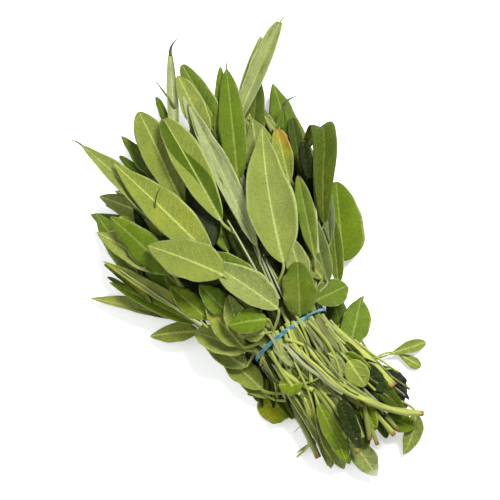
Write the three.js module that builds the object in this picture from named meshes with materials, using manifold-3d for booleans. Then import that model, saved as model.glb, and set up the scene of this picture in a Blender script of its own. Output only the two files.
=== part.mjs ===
// A bunch of fresh sage, cut, tied with a rubber band and laid on its side. Millimetres, +Z up.
// The origin is on the surface it lies on, under the middle of the band. +X runs from the cut
// ends of the stems to the tips of the leaves. Each leafy stem is one mesh, a sprig.
import * as THREE from "three";
import { mergeVertices } from "three/addons/utils/BufferGeometryUtils.js";
import Module from "manifold-3d";

const wasm = await Module();
wasm.setup();

// ---- Driving dimensions ----
const BAND = { wide: 42, high: 34.7, sunk: 0.3, breadth: 2.6, thick: 1.3, sides: 36 };
const GAP = 0.35; // left between two pieces that lie against each other

// The stems stand in rings within the band. share is how far out a ring lies.
const RINGS = [
  { stems: 14, share: 1, start: 12 },
  { stems: 8, share: 0.52, start: 30 },
  { stems: 2, share: 0.16, start: 0 },
];
const STEM = {
  radius: 1.55,
  varies: [0.85, 1.15], // each stem's share of that radius
  tipRadius: 0.8,
  behind: [1, 0.84, 0.64, 0.42, 0.2, 0.05], // sections from the cut end to the band, as shares
  ahead: [0.04, 0.12, 0.24, 0.42, 0.68, 1], // sections from the band to the tip
  reach: 62, // how far the outermost stems run past the band
  extra: 32, // how much further the middle ones run
  ends: [0.7, 1], // the share of it that each one gets
  settle: 12, // the stretch past the band in which a stem takes its height in the fan
  under: 5, // depth of the topmost stems below the outermost leaves
};
// The cut ends: how far behind the band they are, how they splay, lean to one side and sink.
const TAIL = { cut: 52, spread: 15, even: 0.4, splay: 1.25, lean: -4, sink: 0.96, rise: 0.6 };
const BEND = { aside: 1.4, down: 1.3 }; // how late a stem bends on its way to the cut end
const STRAY = { tries: 8, aside: [-9, 9], rise: [-4, 5], bend: [1.2, 2.8] };

// The fan of leaves: how it widens past the band, and how its middle leans and swings aside.
const FAN = { wide: 46, rate: 32, lean: -7, leanRate: 15, swing: -14, swingAt: 120, ease: 8 };
const TAIL_FAN = { widens: 0.08, swings: 0.0022 };
// The top of the bunch: its height at the tie, its swell past it, and its falls to both ends.
const ROOF = { tie: 34, swell: 8, swellRate: 18, end: 185, fall: 108, edge: 4, power: 2.6 };
const SLOPE = { tail: 1.3, tips: 0.8 }; // powers of those two falls
const LOWEST = { crown: 0.02, side: 0.04 };

const BLADE = {
  thick: 0.7,
  sections: [0, 0.14, 0.42, 0.78, 1], // as shares of its length
  petiole: 0.8, // half width of the leaf's stalk
  tip: 0.5, // half width of its very tip
  stalk: 8, // usual length of the stalk
  low: 0.8, // below 1, the leaf is widest nearer to its root
  blunt: 0.7, // below 1, its outline is fuller
  mitre: 1.7, // the most that a sharp fold may thicken it at the midrib
  least: 0.65, // thickness kept where it is pressed flat on the surface
  clearance: 0.4,
};
// Where a leaf may join a stem: the distance to it, from where to where, and how many are tried.
const JOIN = { far: 24, past: 4, tip: 1, before: -4, cut: 6, step: 2, most: 6 };
const LIFTS = [0, 1.2, -1.2, 2.4, -2.4, 3.6, -3.6, 4.8, 6]; // how far a leaf may shift to lie clear
const SEED = 20417;

// ---- Vectors ----
const add = (a, b) => a.map((v, i) => v + b[i]);
const sub = (a, b) => a.map((v, i) => v - b[i]);
const times = (a, k) => a.map((v) => v * k);
const mix = (a, b, t) => a.map((v, i) => v + (b[i] - v) * t);
const dot = (a, b) => a[0] * b[0] + a[1] * b[1] + a[2] * b[2];
const cross = (a, b) => [a[1] * b[2] - a[2] * b[1], a[2] * b[0] - a[0] * b[2], a[0] * b[1] - a[1] * b[0]];
const length = (a) => Math.hypot(...a);
const unit = (a) => times(a, 1 / length(a));
const rad = (degrees) => (degrees * Math.PI) / 180;
const UP = [0, 0, 1];

// A seeded draw between two values.
let seed = SEED;
function draw(low, high) {
  seed = (Math.imul(seed, 1664525) + 1013904223) >>> 0;
  return low + ((high - low) * seed) / 4294967296;
}

// ---- The form of the whole bunch ----
// Distance past the band, eased so that the stems leave it straight.
const past = (x) => Math.sqrt(x * x + FAN.ease ** 2) - FAN.ease;
function halfWidth(x) {
  const widened = x > 0 ? FAN.wide * (1 - Math.exp(-past(x) / FAN.rate)) : -TAIL_FAN.widens * x;
  return BAND.wide / 2 + widened;
}
function middle(x) {
  if (x <= 0) return -TAIL_FAN.swings * x * x;
  return FAN.lean * (1 - Math.exp(-past(x) / FAN.leanRate)) + FAN.swing * (x / FAN.swingAt) ** 4;
}
function crown(x) {
  if (x <= 0) return ROOF.tie * (1 - (-x / ROOF.fall) ** SLOPE.tail);
  const swell = ROOF.tie + ROOF.swell * (1 - Math.exp(-x / ROOF.swellRate));
  return swell * Math.max(LOWEST.crown, 1 - (x / ROOF.end) ** ROOF.power) ** SLOPE.tips;
}
// Height of the top of the leaves over a point of the surface.
function roof(x, y) {
  const s = Math.abs(y - middle(x)) / (halfWidth(x) + ROOF.edge);
  return crown(x) * Math.sqrt(Math.max(LOWEST.side, 1 - s ** ROOF.power));
}

// ---- Stems ----
// Two thick old stems lie on top of the others at the cut end.
const OLD_STEMS = {
  3: { radius: 1.9, cut: [-67, -28, 16], hump: 8, bend: 3.6 },
  6: { radius: 2.3, cut: [-50, -25, 13], hump: 3 },
};
// Each stem keeps its place in the tie all along: s across, from -1 to 1, and level, from 0 to 1.
const stems = [];
for (const ring of RINGS)
  for (let k = 0; k < ring.stems; k++) {
    const old = OLD_STEMS[stems.length] ?? {};
    const turn = rad(ring.start + (360 * k) / ring.stems);
    const radius = old.radius ?? STEM.radius * draw(...STEM.varies);
    const inside = radius + BAND.thick + GAP;
    const y = ring.share * (BAND.wide / 2 - inside) * Math.cos(turn);
    const z = BAND.high / 2 - BAND.sunk + ring.share * (BAND.high / 2 - inside) * Math.sin(turn);
    const s = y / (BAND.wide / 2);
    const level = z / ROOF.tie;
    const x = -TAIL.cut - draw(-TAIL.spread, TAIL.spread) * (1 - TAIL.even * Math.abs(s));
    const cut = [x, y * TAIL.splay + TAIL.lean, level * crown(x) * TAIL.sink + TAIL.rise];
    const end = STEM.reach + STEM.extra * (1 - Math.abs(s)) * draw(...STEM.ends);
    const strays = Array.from({ length: STRAY.tries }, () => ({
      aside: draw(...STRAY.aside),
      rise: draw(...STRAY.rise),
      bend: draw(...STRAY.bend),
    }));
    stems.push({ s, level, y, z, radius, cut, end, hump: 0, bend: BEND.aside, strays, ...old });
  }

function stemPoint(stem, x) {
  if (x <= 0) {
    const t = x / stem.cut[0];
    const y = stem.y + (stem.cut[1] - stem.y) * t ** stem.bend;
    const z = stem.z + (stem.cut[2] - stem.z) * t ** BEND.down;
    return [x, y, z + stem.hump * Math.sin(Math.PI * t)];
  }
  const y = middle(x) + halfWidth(x) * stem.s;
  const leafy = 1 - Math.exp(-past(x) / STEM.settle);
  return [x, y, stem.level * (ROOF.tie + (roof(x, y) - STEM.under - ROOF.tie) * leafy)];
}

// ---- Solids ----
// A closed body through rings of equally many points, each ring clockwise as seen from the start.
// Both faces of a blade are split into triangles alike, so that they never cross.
function loft(rings) {
  const n = rings[0].length;
  const index = [];
  for (let j = 0; j + 1 < rings.length; j++)
    for (let i = 0; i < n; i++) {
      const [a, b] = [j * n + i, j * n + ((i + 1) % n)];
      const [c, d] = [b + n, a + n];
      if (i < n / 2) index.push(a, b, c, a, c, d);
      else index.push(a, b, d, b, c, d);
    }
  for (let i = 0; i < n / 2 - 1; i++) {
    const quad = [i, i + 1, n - 2 - i, n - 1 - i];
    const last = quad.map((v) => v + (rings.length - 1) * n);
    index.push(quad[0], quad[2], quad[1], quad[0], quad[3], quad[2]);
    index.push(last[0], last[1], last[2], last[0], last[2], last[3]);
  }
  const geometry = new THREE.BufferGeometry();
  geometry.setAttribute("position", new THREE.Float32BufferAttribute(rings.flat(2), 3));
  return geometry.setIndex(index);
}

function solidOf(geometry) {
  geometry.deleteAttribute("normal");
  geometry.deleteAttribute("uv");
  const merged = mergeVertices(geometry, 1e-4);
  const vertProperties = merged.attributes.position.array;
  return new wasm.Manifold(
    new wasm.Mesh({ numProp: 3, vertProperties, triVerts: new Uint32Array(merged.index.array) }),
  );
}

function geometryOf(solid) {
  const { vertProperties, triVerts } = solid.getMesh();
  const geometry = new THREE.BufferGeometry();
  geometry.setAttribute("position", new THREE.BufferAttribute(vertProperties, 3));
  geometry.setIndex(new THREE.BufferAttribute(triVerts, 1));
  geometry.computeVertexNormals();
  return geometry;
}

// A four-edged stem, as sage has.
function stemGeometry(stem) {
  const rings = [];
  const behind = STEM.behind.map((share) => share * stem.cut[0]);
  const ahead = STEM.ahead.map((share) => share * stem.end);
  for (const x of [...behind, ...ahead]) {
    const along = unit(sub(stemPoint(stem, x + 0.5), stemPoint(stem, x - 0.5)));
    const side = unit(cross(UP, along));
    const up = cross(along, side);
    const thin = Math.max(0, x) / stem.end;
    const r = stem.radius + (STEM.tipRadius - stem.radius) * thin;
    const corner = (u, v) => {
      const p = add(stemPoint(stem, x), add(times(side, u * r), times(up, v * r)));
      return [p[0], p[1], Math.max(p[2], 0)];
    };
    rings.push([corner(0.5, 0.7), corner(-0.7, 0.5), corner(-0.5, -0.7), corner(0.7, -0.5)]);
  }
  return loft(rings);
}

// ---- Leaves ----
// A leaf is given by the root of its blade, its tip, and the two points that its midrib bends
// towards. roll turns it about its midrib, from the root to the tip; fold lifts both halves.
function leaf(root, tip, wide, options = {}) {
  const { fold = 14, roll = [0, 0], bow = 0, sway = 0, via = null } = options;
  const ahead = sub(tip, root);
  const side = unit(cross(UP, ahead));
  const bend = add(times(UP, bow), times(side, sway));
  const bends = via ?? [add(mix(root, tip, 1 / 3), bend), add(mix(root, tip, 2 / 3), bend)];
  return { root, tip, bends, wide, fold, roll, pale: true, ...options };
}

const outline = (t) => Math.max(0, Math.sin(Math.PI * t ** BLADE.low)) ** BLADE.blunt;

function midrib({ root, tip, bends }, t) {
  const [a, b, c, d] = [(1 - t) ** 3, 3 * t * (1 - t) ** 2, 3 * t * t * (1 - t), t ** 3];
  return root.map((v, i) => a * v + b * bends[0][i] + c * bends[1][i] + d * tip[i]);
}

// The points round the blade: six where it is folded along its midrib, and four where it is flat.
function section(blade, centre, along, halfWide, turn, fold, margin) {
  const level = unit(cross(UP, [blade.tip[0] - blade.root[0], blade.tip[1] - blade.root[1], 0]));
  const plumb = unit(cross(along, level));
  const flat = cross(plumb, along);
  const side = add(times(flat, Math.cos(turn)), times(plumb, Math.sin(turn)));
  const up = sub(times(plumb, Math.cos(turn)), times(flat, Math.sin(turn)));
  const [co, si] = [Math.cos(fold), Math.sin(fold)];
  const half = BLADE.thick / 2 + margin;
  const reach = halfWide + margin;
  const point = (u, faceUp) => {
    const normal = u ? add(times(up, co), times(side, -u * si)) : times(up, Math.min(1 / co, BLADE.mitre));
    const p = add(add(centre, times(side, u * reach * co)), times(up, Math.abs(u) * reach * si));
    p[2] = Math.max(p[2], BLADE.thick / 2);
    const q = add(p, times(normal, faceUp * half));
    const least = faceUp > 0 ? BLADE.least : 0;
    return [q[0], q[1], margin ? q[2] : Math.max(q[2], least)];
  };
  const across = fold ? [1, 0, -1] : [1, -1];
  return [...across.map((u) => point(u, 1)), ...across.reverse().map((u) => point(u, -1))];
}

function bladeRings(blade, margin = 0) {
  return BLADE.sections.map((t) => {
    const along = unit(sub(midrib(blade, t + 0.01), midrib(blade, t - 0.01)));
    const wide = Math.max((blade.wide / 2) * outline(t), t < 0.5 ? BLADE.petiole : BLADE.tip);
    const turn = rad(blade.roll[0] + (blade.roll[1] - blade.roll[0]) * t);
    return section(blade, midrib(blade, t), along, wide, turn, rad(blade.fold), margin);
  });
}

// The stalk, from the middle of the stem to the root of the blade.
function leafGeometry(blade, foot, margin = 0) {
  const stalk = unit(sub(blade.root, foot));
  const start = section(blade, foot, stalk, BLADE.petiole, rad(blade.roll[0]), rad(blade.fold), margin);
  return loft([start, ...bladeRings(blade, margin)]);
}

// ---- Leaves kept clear of each other ----
const placed = []; // every solid so far: its sprig, its box, the whole of it and its blade alone

function place(sprig, whole, blade) {
  placed.push({ sprig, whole, blade, box: whole.boundingBox() });
}

const apart = (a, b) => [0, 1, 2].some((i) => a.min[i] > b.max[i] || b.min[i] > a.max[i]);

// Whether a leaf keeps clear of all that is placed; its own sprig's stalks may touch it.
function isClear(sprig, blade, foot) {
  const whole = solidOf(leafGeometry(blade, foot, BLADE.clearance));
  const alone = solidOf(loft(bladeRings(blade)));
  const box = whole.boundingBox();
  const meets = placed.some((other) => {
    if (apart(box, other.box)) return false;
    const mine = other.sprig === sprig;
    const common = mine ? alone.intersect(other.blade) : whole.intersect(other.whole);
    const hit = !common.isEmpty();
    common.delete();
    return hit;
  });
  whole.delete();
  alone.delete();
  return !meets;
}

// The first of the choices that is clear of the rest is grown; a leaf with none is left out.
function settle(choices) {
  for (const { sprig, blade, foot } of choices)
    if (isClear(sprig, blade, foot)) {
      place(sprig, solidOf(leafGeometry(blade, foot)), solidOf(loft(bladeRings(blade))));
      return true;
    }
  return false;
}

function lifted(blade, rise) {
  const lift = (p) => [p[0], p[1], p[2] + rise];
  return { ...blade, root: lift(blade.root), tip: lift(blade.tip), bends: blade.bends.map(lift) };
}

// The stems near enough to bear a leaf, nearest first, with the foot of its stalk on each.
function feet(blade) {
  const target = sub(blade.root, times(unit(sub(blade.bends[0], blade.root)), BLADE.stalk));
  const found = [];
  stems.forEach((stem, sprig) => {
    const leafy = [JOIN.past, stem.end - JOIN.tip];
    const [from, to] = blade.root[0] > 0 ? leafy : [stem.cut[0] + JOIN.cut, JOIN.before];
    let best = { far: Infinity };
    for (let x = from; x <= to; x += JOIN.step) {
      const foot = stemPoint(stem, x);
      const far = length(sub(foot, target));
      if (far < best.far) best = { sprig, foot, far };
    }
    if (best.far < JOIN.far) found.push(best);
  });
  return found.sort((a, b) => a.far - b.far).slice(0, JOIN.most);
}

// ---- The leaves that lie outermost ----
// Root of the blade, tip, greatest width and form. Left is +Y, seen from the cut ends.
const OUTER = [
  // low on the left
  [[29, 34, 12], [43, 54, 3], 10, { fold: 8, bow: 2 }],
  [[36, 34, 14], [77, 67, 3], 11, { fold: 30, roll: [10, 25] }],
  [[31, 34, 20], [76, 55, 9], 9, { fold: 20, pale: false }],
  [[32, 32, 24], [85, 52, 15], 10, { fold: 48 }],
  // the furthest tips
  [[92, 4, 22], [135, 7, 14], 12, { pale: false, roll: [20, 20] }],
  [[78, -31, 23], [120, -68, 12], 13, { fold: 20, pale: false, roll: [-14, -10] }],
  [[109, -9, 25], [157, -39, 16], 6, { fold: 20 }],
  [[100, -33, 25], [148, -40, 17], 12, { fold: 18, pale: false, roll: [-10, -10] }],
  [[103, -25, 27], [143, -34, 20], 13, { fold: 18 }],
  [[101, -38, 20], [139, -96, 14], 13, { fold: 42, bow: 2 }],
  // the left of the fan
  [[57, 30, 24], [99, 46, 13], 15, { fold: 10, roll: [5, 10] }],
  [[55, 17, 27], [98, 33, 19], 18, { fold: 10, roll: [6, 8] }],
  [[80, 6, 30], [139, -7, 18], 18, { fold: 10, bow: 3 }],
  [[66, 15, 31], [144, 26, 12], 14, { fold: 24, roll: [0, 8], bow: 3 }],
  // the right of the fan
  [[75, -23, 29], [131, -56, 20], 14, { fold: 12, pale: false, bow: 2 }],
  [[56, -35, 24], [106, -59, 17], 12, { fold: 12 }],
  [[80, -54, 18], [97, -67, 20], 8, { fold: 30, pale: false }],
  [[60, -43, 25], [89, -57, 21], 10, { fold: 20 }],
  [[55, -49, 19], [90, -67, 20], 8, { fold: 30, pale: false }],
  [[40, -45, 18], [73, -64, 15], 9, { fold: 46, pale: false }],
  [[26, -43, 16], [68, -67, 16], 10, { fold: 30, pale: false }],
  [[35, -46, 20], [73, -63, 15], 14, { fold: 30, pale: false, via: [[56, -57, 33], [85, -91, 32]] }],
  [[22, -30, 31], [61, -49, 28], 10, { fold: 24, pale: false }],
  [[10, -29, 24], [42, -42, 24], 11, { fold: 16, pale: false }],
  [[7, -34, 17], [37, -53, 14], 9, { fold: 30, pale: false }],
  [[17, -45, 9], [54, -69, 5], 25, { fold: 8, pale: false }],
  // small ones beside the band and just past it
  [[-21, -20, 15], [-4, -40, 9], 15, { fold: 10, pale: false }],
  [[-6, -33, 7], [-3, -43, 7], 4, { fold: 10, pale: false }],
  [[-14, -22, 7], [10, -32, 7], 11, { fold: 10, pale: false }],
  [[5, -18, 25], [4, -37, 16], 15, { pale: false }],
  [[28, 29, 27], [53, 34, 24], 12, { fold: 20, pale: false }],
  [[24, 20, 30], [43, 23, 31], 12, { fold: 16, pale: false }],
  [[5, 12, 33], [11, 21, 29], 8, {}],
  [[22, 1, 37], [52, 10, 38], 12, { fold: 12, pale: false }],
  [[14, -17, 33], [38, -26, 33], 12, { fold: 16 }],
  // over the middle of the fan
  [[40, -9, 34], [125, -28, 22], 12, { fold: 30, bow: 3 }],
  [[61, -3, 36], [125, -13, 26], 18, { fold: 26, bow: 3 }],
  [[49, 2, 31], [73, -8, 28], 11, { fold: 14, pale: false }],
  [[48, 11, 37], [122, 20, 24], 19, { fold: 12, bow: 3 }],
  [[37, 13, 39], [73, 32, 29], 22, { fold: 10, roll: [8, 10], bow: 3 }],
  [[10, 1, 39], [47, 14, 41], 17, { fold: 22, bow: 2 }],
  [[12, -27, 26], [29, -27, 27], 8, { fold: 8 }],
  [[2, -6, 35], [24, -21, 34], 17, { fold: 16, pale: false, bow: 3 }],
  [[26, -14, 40], [91, -49, 33], 24, { fold: 16, bow: 3, sway: 2.6 }],
  // round the left of the band
  [[6, 22, 21], [29, 37, 17], 17, { fold: 22, bow: 2 }],
  [[8, 23, 27], [34, 26, 32], 14, {}],
  [[11, 22, 26], [30, 15, 31], 12, { fold: 20 }],
  [[9, 8, 34], [18, 24, 30], 13, { fold: 8, pale: false, bow: 2 }],
  [[1, 26, 12], [27, 33, 4], 13, { fold: 12 }],
  [[-12, 26, 11], [17, 30, 3], 13, { fold: 12 }],
  [[-17, 25, 9], [4, 29, 3], 11, { fold: 12 }],
  [[-17, 21, 9], [-8, 32, 2], 6, { fold: 30, pale: false }],
  [[-28, 18, 9], [-15, 31, 2], 17, { fold: 10, pale: false }],
  // among the cut ends
  [[-24, 11, 28], [-17, 20, 23], 11, { fold: 10, pale: false }],
  [[-28, -12, 30], [-42, -12, 26], 12, {}],
  [[-32, -16, 22], [-50, -20, 17], 11, { pale: false }],
  [[-33, -34, 4], [-39, -54, 3], 7, { fold: 20 }],
  [[-35, -39, 4], [-47, -45, 2], 6, { fold: 10 }],
  [[-41, -32, 9], [-57, -26, 4], 10, { fold: 30, pale: false }],
  [[-57, -14, 12], [-70, -22, 9], 12, { fold: 20, pale: false }],
  [[-64, -27, 10], [-76, -11, 4], 10, { fold: 24, sway: 2 }],
  [[-36, 11, 28], [-65, 13, 7], 10, { fold: 30, pale: false, via: [[-46, 13, 28], [-57, 14, 20]] }],
  [[-41, 3, 29], [-63, 6, 12], 9, { fold: 24, pale: false, via: [[-48, 5, 28], [-56, 6, 24]] }],
  [[-57, 6, 8], [-77, 6, 3], 12, { fold: 16 }],
  [[-38, 12, 24], [-65, 16, 3], 12, { fold: 20, via: [[-48, 14, 23], [-58, 16, 13]] }],
  [[-53, 16, 11], [-61, 21, 2], 5, { fold: 20 }],
  [[-47, 16, 6], [-45, 30, 2], 2, { fold: 30 }],
];

// ---- The leaves within, in opposite pairs, each pair turned a quarter from the last ----
const PAIR = {
  first: 9, // from the band to the first pair
  sooner: 6, // how much further out a stem's first pair may be
  step: 17,
  long: 60,
  slender: 2.8, // length to width
  shorten: 0.3, // how much shorter the leaves are at the far end
  farEnd: 90,
  spread: { flat: 38, upright: 15 }, // between a leaf and its stem, seen from above
  climb: 0.15, // how much higher or lower the leaves of an upright pair lie
  turn: [-7, 7],
  size: [0.85, 1.1],
  level: [-0.04, 0.04],
  twist: [-12, 12],
  pale: 0.6, // share of the leaves that show their pale side
  lifts: [0, -1.2, 1.2, -2.4, 2.4, -3.6, -5, -6.5, -8, -10],
  swings: [0, 9, -9, 18, -18],
  sizes: [1, 0.8],
  levels: [0.01, 0.84], // the lowest and the highest layer
  widest: 0.93, // how near to the edge of the fan a tip may come, as a share
  furthest: 116,
};
const LAYER = { lowest: 0.4, under: 1.5 };

// Height of a layer of leaves that keeps its level through the fan.
const layer = (x, y, level) => LAYER.lowest + level * (roof(x, y) - LAYER.under);

function pairLeaf(stem, x, side, flat, draws, swing, size) {
  const foot = stemPoint(stem, x);
  const ahead = sub(stemPoint(stem, x + 1), foot);
  const spread = side * (flat ? PAIR.spread.flat : PAIR.spread.upright) + draws.turn + swing;
  const heading = Math.atan2(ahead[1], ahead[0]) + rad(spread);
  const [dx, dy] = [Math.cos(heading), Math.sin(heading)];
  const long = PAIR.long * size * draws.size * (1 - (PAIR.shorten * x) / PAIR.farEnd);
  const [low, high] = PAIR.levels;
  const climb = flat ? 0 : side * PAIR.climb;
  const level = Math.min(high, Math.max(low, stem.level + climb + draws.level));
  const at = (far) => {
    const p = [foot[0] + dx * far, foot[1] + dy * far];
    return [...p, layer(...p, level)];
  };
  const root = at(BLADE.stalk);
  const tip = at(BLADE.stalk + long);
  const via = [at(BLADE.stalk + long / 3), at(BLADE.stalk + (2 * long) / 3)];
  const slope = (layer(via[1][0] - 2 * dy, via[1][1] + 2 * dx, level) - via[1][2]) / 2;
  const tilt = (Math.atan(slope) * 180) / Math.PI;
  const inside = Math.abs(tip[1] - middle(tip[0])) < PAIR.widest * halfWidth(tip[0]);
  if (!inside || tip[0] > PAIR.furthest) return null;
  const form = { fold: 0, roll: [tilt, tilt + draws.twist], via, pale: draws.pale };
  return { foot, blade: leaf(root, tip, long / PAIR.slender, form) };
}

function pairChoices(stem, sprig, x, side, flat) {
  const draws = {
    turn: draw(...PAIR.turn),
    size: draw(...PAIR.size),
    level: draw(...PAIR.level),
    twist: draw(...PAIR.twist),
    pale: draw(0, 1) < PAIR.pale,
  };
  const choices = [];
  for (const size of PAIR.sizes)
    for (const lift of PAIR.lifts)
      for (const swing of PAIR.swings) {
        const made = pairLeaf(stem, x, side, flat, draws, swing, size);
        if (made) choices.push({ sprig, foot: made.foot, blade: lifted(made.blade, lift) });
      }
  return choices;
}

// ---- The rubber band, flattened where it lies on the surface ----
function bandGeometry() {
  const [a, b] = [BAND.wide / 2, BAND.high / 2];
  const centre = b - BAND.sunk;
  const contour = (inset) =>
    Array.from({ length: BAND.sides }, (_, k) => {
      const turn = (2 * Math.PI * k) / BAND.sides;
      const z = centre + (b - inset) * Math.sin(turn);
      return new THREE.Vector2((a - inset) * Math.cos(turn), Math.max(z, inset));
    });
  const ring = new THREE.Shape(contour(0));
  ring.holes.push(new THREE.Path(contour(BAND.thick)));
  const geometry = new THREE.ExtrudeGeometry(ring, { depth: BAND.breadth, bevelEnabled: false });
  // Drawn across Y and Z, then given its breadth along X.
  geometry.translate(0, 0, -BAND.breadth / 2);
  return geometry.rotateX(Math.PI / 2).rotateZ(Math.PI / 2);
}

// ---- Putting the bunch together ----
const band = solidOf(bandGeometry());
place(null, band, band);

// A cut end strays sideways, up or down, and bends soon or late, as far as the others leave room.
function strayed(stem, { aside, rise, bend }) {
  const [x, y, z] = stem.cut;
  return { ...stem, cut: [x, y + aside, Math.max(z + rise, stem.radius)], bend };
}
const bodies = stems.map((stem) => solidOf(stemGeometry(stem)));
stems.forEach((stem, sprig) => {
  const free = (tried) => {
    const body = solidOf(stemGeometry({ ...tried, radius: tried.radius + GAP }));
    const others = bodies.filter((_, k) => k !== sprig);
    return [band, ...others].every((other) => body.intersect(other).isEmpty());
  };
  const tries = OLD_STEMS[sprig] ? [] : stem.strays.map((stray) => strayed(stem, stray));
  stems[sprig] = tries.find(free) ?? stem;
  bodies[sprig] = solidOf(stemGeometry(stems[sprig]));
  place(sprig, bodies[sprig], bodies[sprig]);
});

for (const [root, tip, wide, form] of OUTER) {
  const blade = leaf(root, tip, wide, form);
  const bearers = feet(blade);
  settle(
    LIFTS.flatMap((lift) =>
      bearers.map(({ sprig, foot }) => ({ sprig, foot, blade: lifted(blade, lift) })),
    ),
  );
}

stems.forEach((stem, sprig) => {
  let x = PAIR.first + draw(0, PAIR.sooner);
  for (let k = sprig; x < stem.end; k++) {
    for (const side of [-1, 1]) settle(pairChoices(stem, sprig, x, side, k % 2 === 0));
    x += PAIR.step;
  }
});

const bunch = new THREE.Group();
const rubber = new THREE.MeshStandardMaterial({ color: 0x4a9fc4, roughness: 0.55, metalness: 0 });
const sage = new THREE.MeshStandardMaterial({ color: 0x8aa33f, roughness: 0.85, metalness: 0 });

function addMesh(name, solid, material) {
  const mesh = new THREE.Mesh(geometryOf(solid), material);
  mesh.name = name;
  bunch.add(mesh);
}

addMesh("rubber_band", band, rubber);
stems.forEach((_, sprig) => {
  const grown = placed.filter((piece) => piece.sprig === sprig).map((piece) => piece.whole);
  addMesh(`sprig_${String(sprig + 1).padStart(2, "0")}`, wasm.Manifold.union(grown), sage);
});

export default bunch;
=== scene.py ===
"""A bunch of fresh sage, tied with a rubber band and laid on its side, with its fine growth.

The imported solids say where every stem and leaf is. Each sprig is grown again along the same
lines with fine leaves, and the band is wound from one loop of rubber that goes round twice.
Lengths are in millimetres while the bunch is worked out, and in metres in the meshes.
"""

import math
from types import SimpleNamespace as Sizes

import bpy
import numpy as np
from mathutils import Matrix, Vector
from mathutils.kdtree import KDTree


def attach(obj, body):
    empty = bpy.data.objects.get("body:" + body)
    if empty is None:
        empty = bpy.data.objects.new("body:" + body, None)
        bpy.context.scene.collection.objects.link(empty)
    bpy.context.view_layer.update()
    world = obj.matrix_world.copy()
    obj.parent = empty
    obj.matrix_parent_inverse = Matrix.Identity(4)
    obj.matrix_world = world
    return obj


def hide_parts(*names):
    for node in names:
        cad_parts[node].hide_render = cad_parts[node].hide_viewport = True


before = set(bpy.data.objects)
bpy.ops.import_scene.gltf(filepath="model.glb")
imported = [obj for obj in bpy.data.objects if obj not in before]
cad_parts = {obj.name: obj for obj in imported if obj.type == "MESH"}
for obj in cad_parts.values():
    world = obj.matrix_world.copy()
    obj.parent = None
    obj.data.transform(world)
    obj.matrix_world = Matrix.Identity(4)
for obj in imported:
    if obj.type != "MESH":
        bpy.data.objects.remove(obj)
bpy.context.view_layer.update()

MM = 0.001
SEED = 20417

# ---- Sizes that the solids are made from ----
BAND = Sizes(wide=42, high=34.7, sunk=0.3, thick=1.3)
GAP = 0.35
RINGS = [(14, 1, 12), (8, 0.52, 30), (2, 0.16, 0)]  # stems, share of the way out, first angle
STEM = Sizes(
    radius=1.55, varies=(0.85, 1.15), tip_radius=0.8, reach=62, extra=32, ends=(0.7, 1),
    settle=12, under=5,
)
TAIL = Sizes(cut=52, spread=15, even=0.4, splay=1.25, lean=-4, sink=0.96, rise=0.6)
BEND = Sizes(aside=1.4, down=1.3)
STRAY = Sizes(tries=8, aside=(-9, 9), rise=(-4, 5), bend=(1.2, 2.8))
FAN = Sizes(wide=46, rate=32, lean=-7, lean_rate=15, swing=-14, swing_at=120, ease=8)
TAIL_FAN = Sizes(widens=0.08, swings=0.0022)
ROOF = Sizes(tie=34, swell=8, swell_rate=18, end=185, fall=108, edge=4, power=2.6)
SLOPE = Sizes(tail=1.3, tips=0.8)
LOWEST = Sizes(crown=0.02, side=0.04)
BLADE = Sizes(
    thick=0.7, widest=0.42, petiole=0.8, tip=0.5, stalk=8, low=0.8, blunt=0.7, mitre=1.7,
    least=0.65,
)
JOIN = Sizes(far=24, past=4, tip=1, before=-4, cut=6, step=2, most=6)
LIFTS = [0, 1.2, -1.2, 2.4, -2.4, 3.6, -3.6, 4.8, 6]
PAIR = Sizes(
    first=9, sooner=6, step=17, long=60, slender=2.8, shorten=0.3, far_end=90,
    flat=38, upright=15, climb=0.15, turn=(-7, 7), size=(0.85, 1.1), level=(-0.04, 0.04),
    twist=(-12, 12), pale=0.6, lifts=[0, -1.2, 1.2, -2.4, 2.4, -3.6, -5, -6.5, -8, -10],
    swings=[0, 9, -9, 18, -18], sizes=[1, 0.8], levels=(0.01, 0.84), widest=0.93, furthest=116,
    probe=2,
)
LAYER = Sizes(lowest=0.4, under=1.5)
FINEST, FINE, COARSE = 1, 2, 3  # how finely a blade is drawn
MATCH = 0.02  # how near a planned corner lies to the corner of the solid that took it
OLD_STEMS = {
    3: dict(radius=1.9, cut=(-67, -28, 16), hump=8, bend=3.6, looks=dict(grey=0.3, warm=0.5)),
    6: dict(radius=2.3, cut=(-50, -25, 13), hump=3, looks=dict(grey=0.1, warm=0.9)),
}
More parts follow.
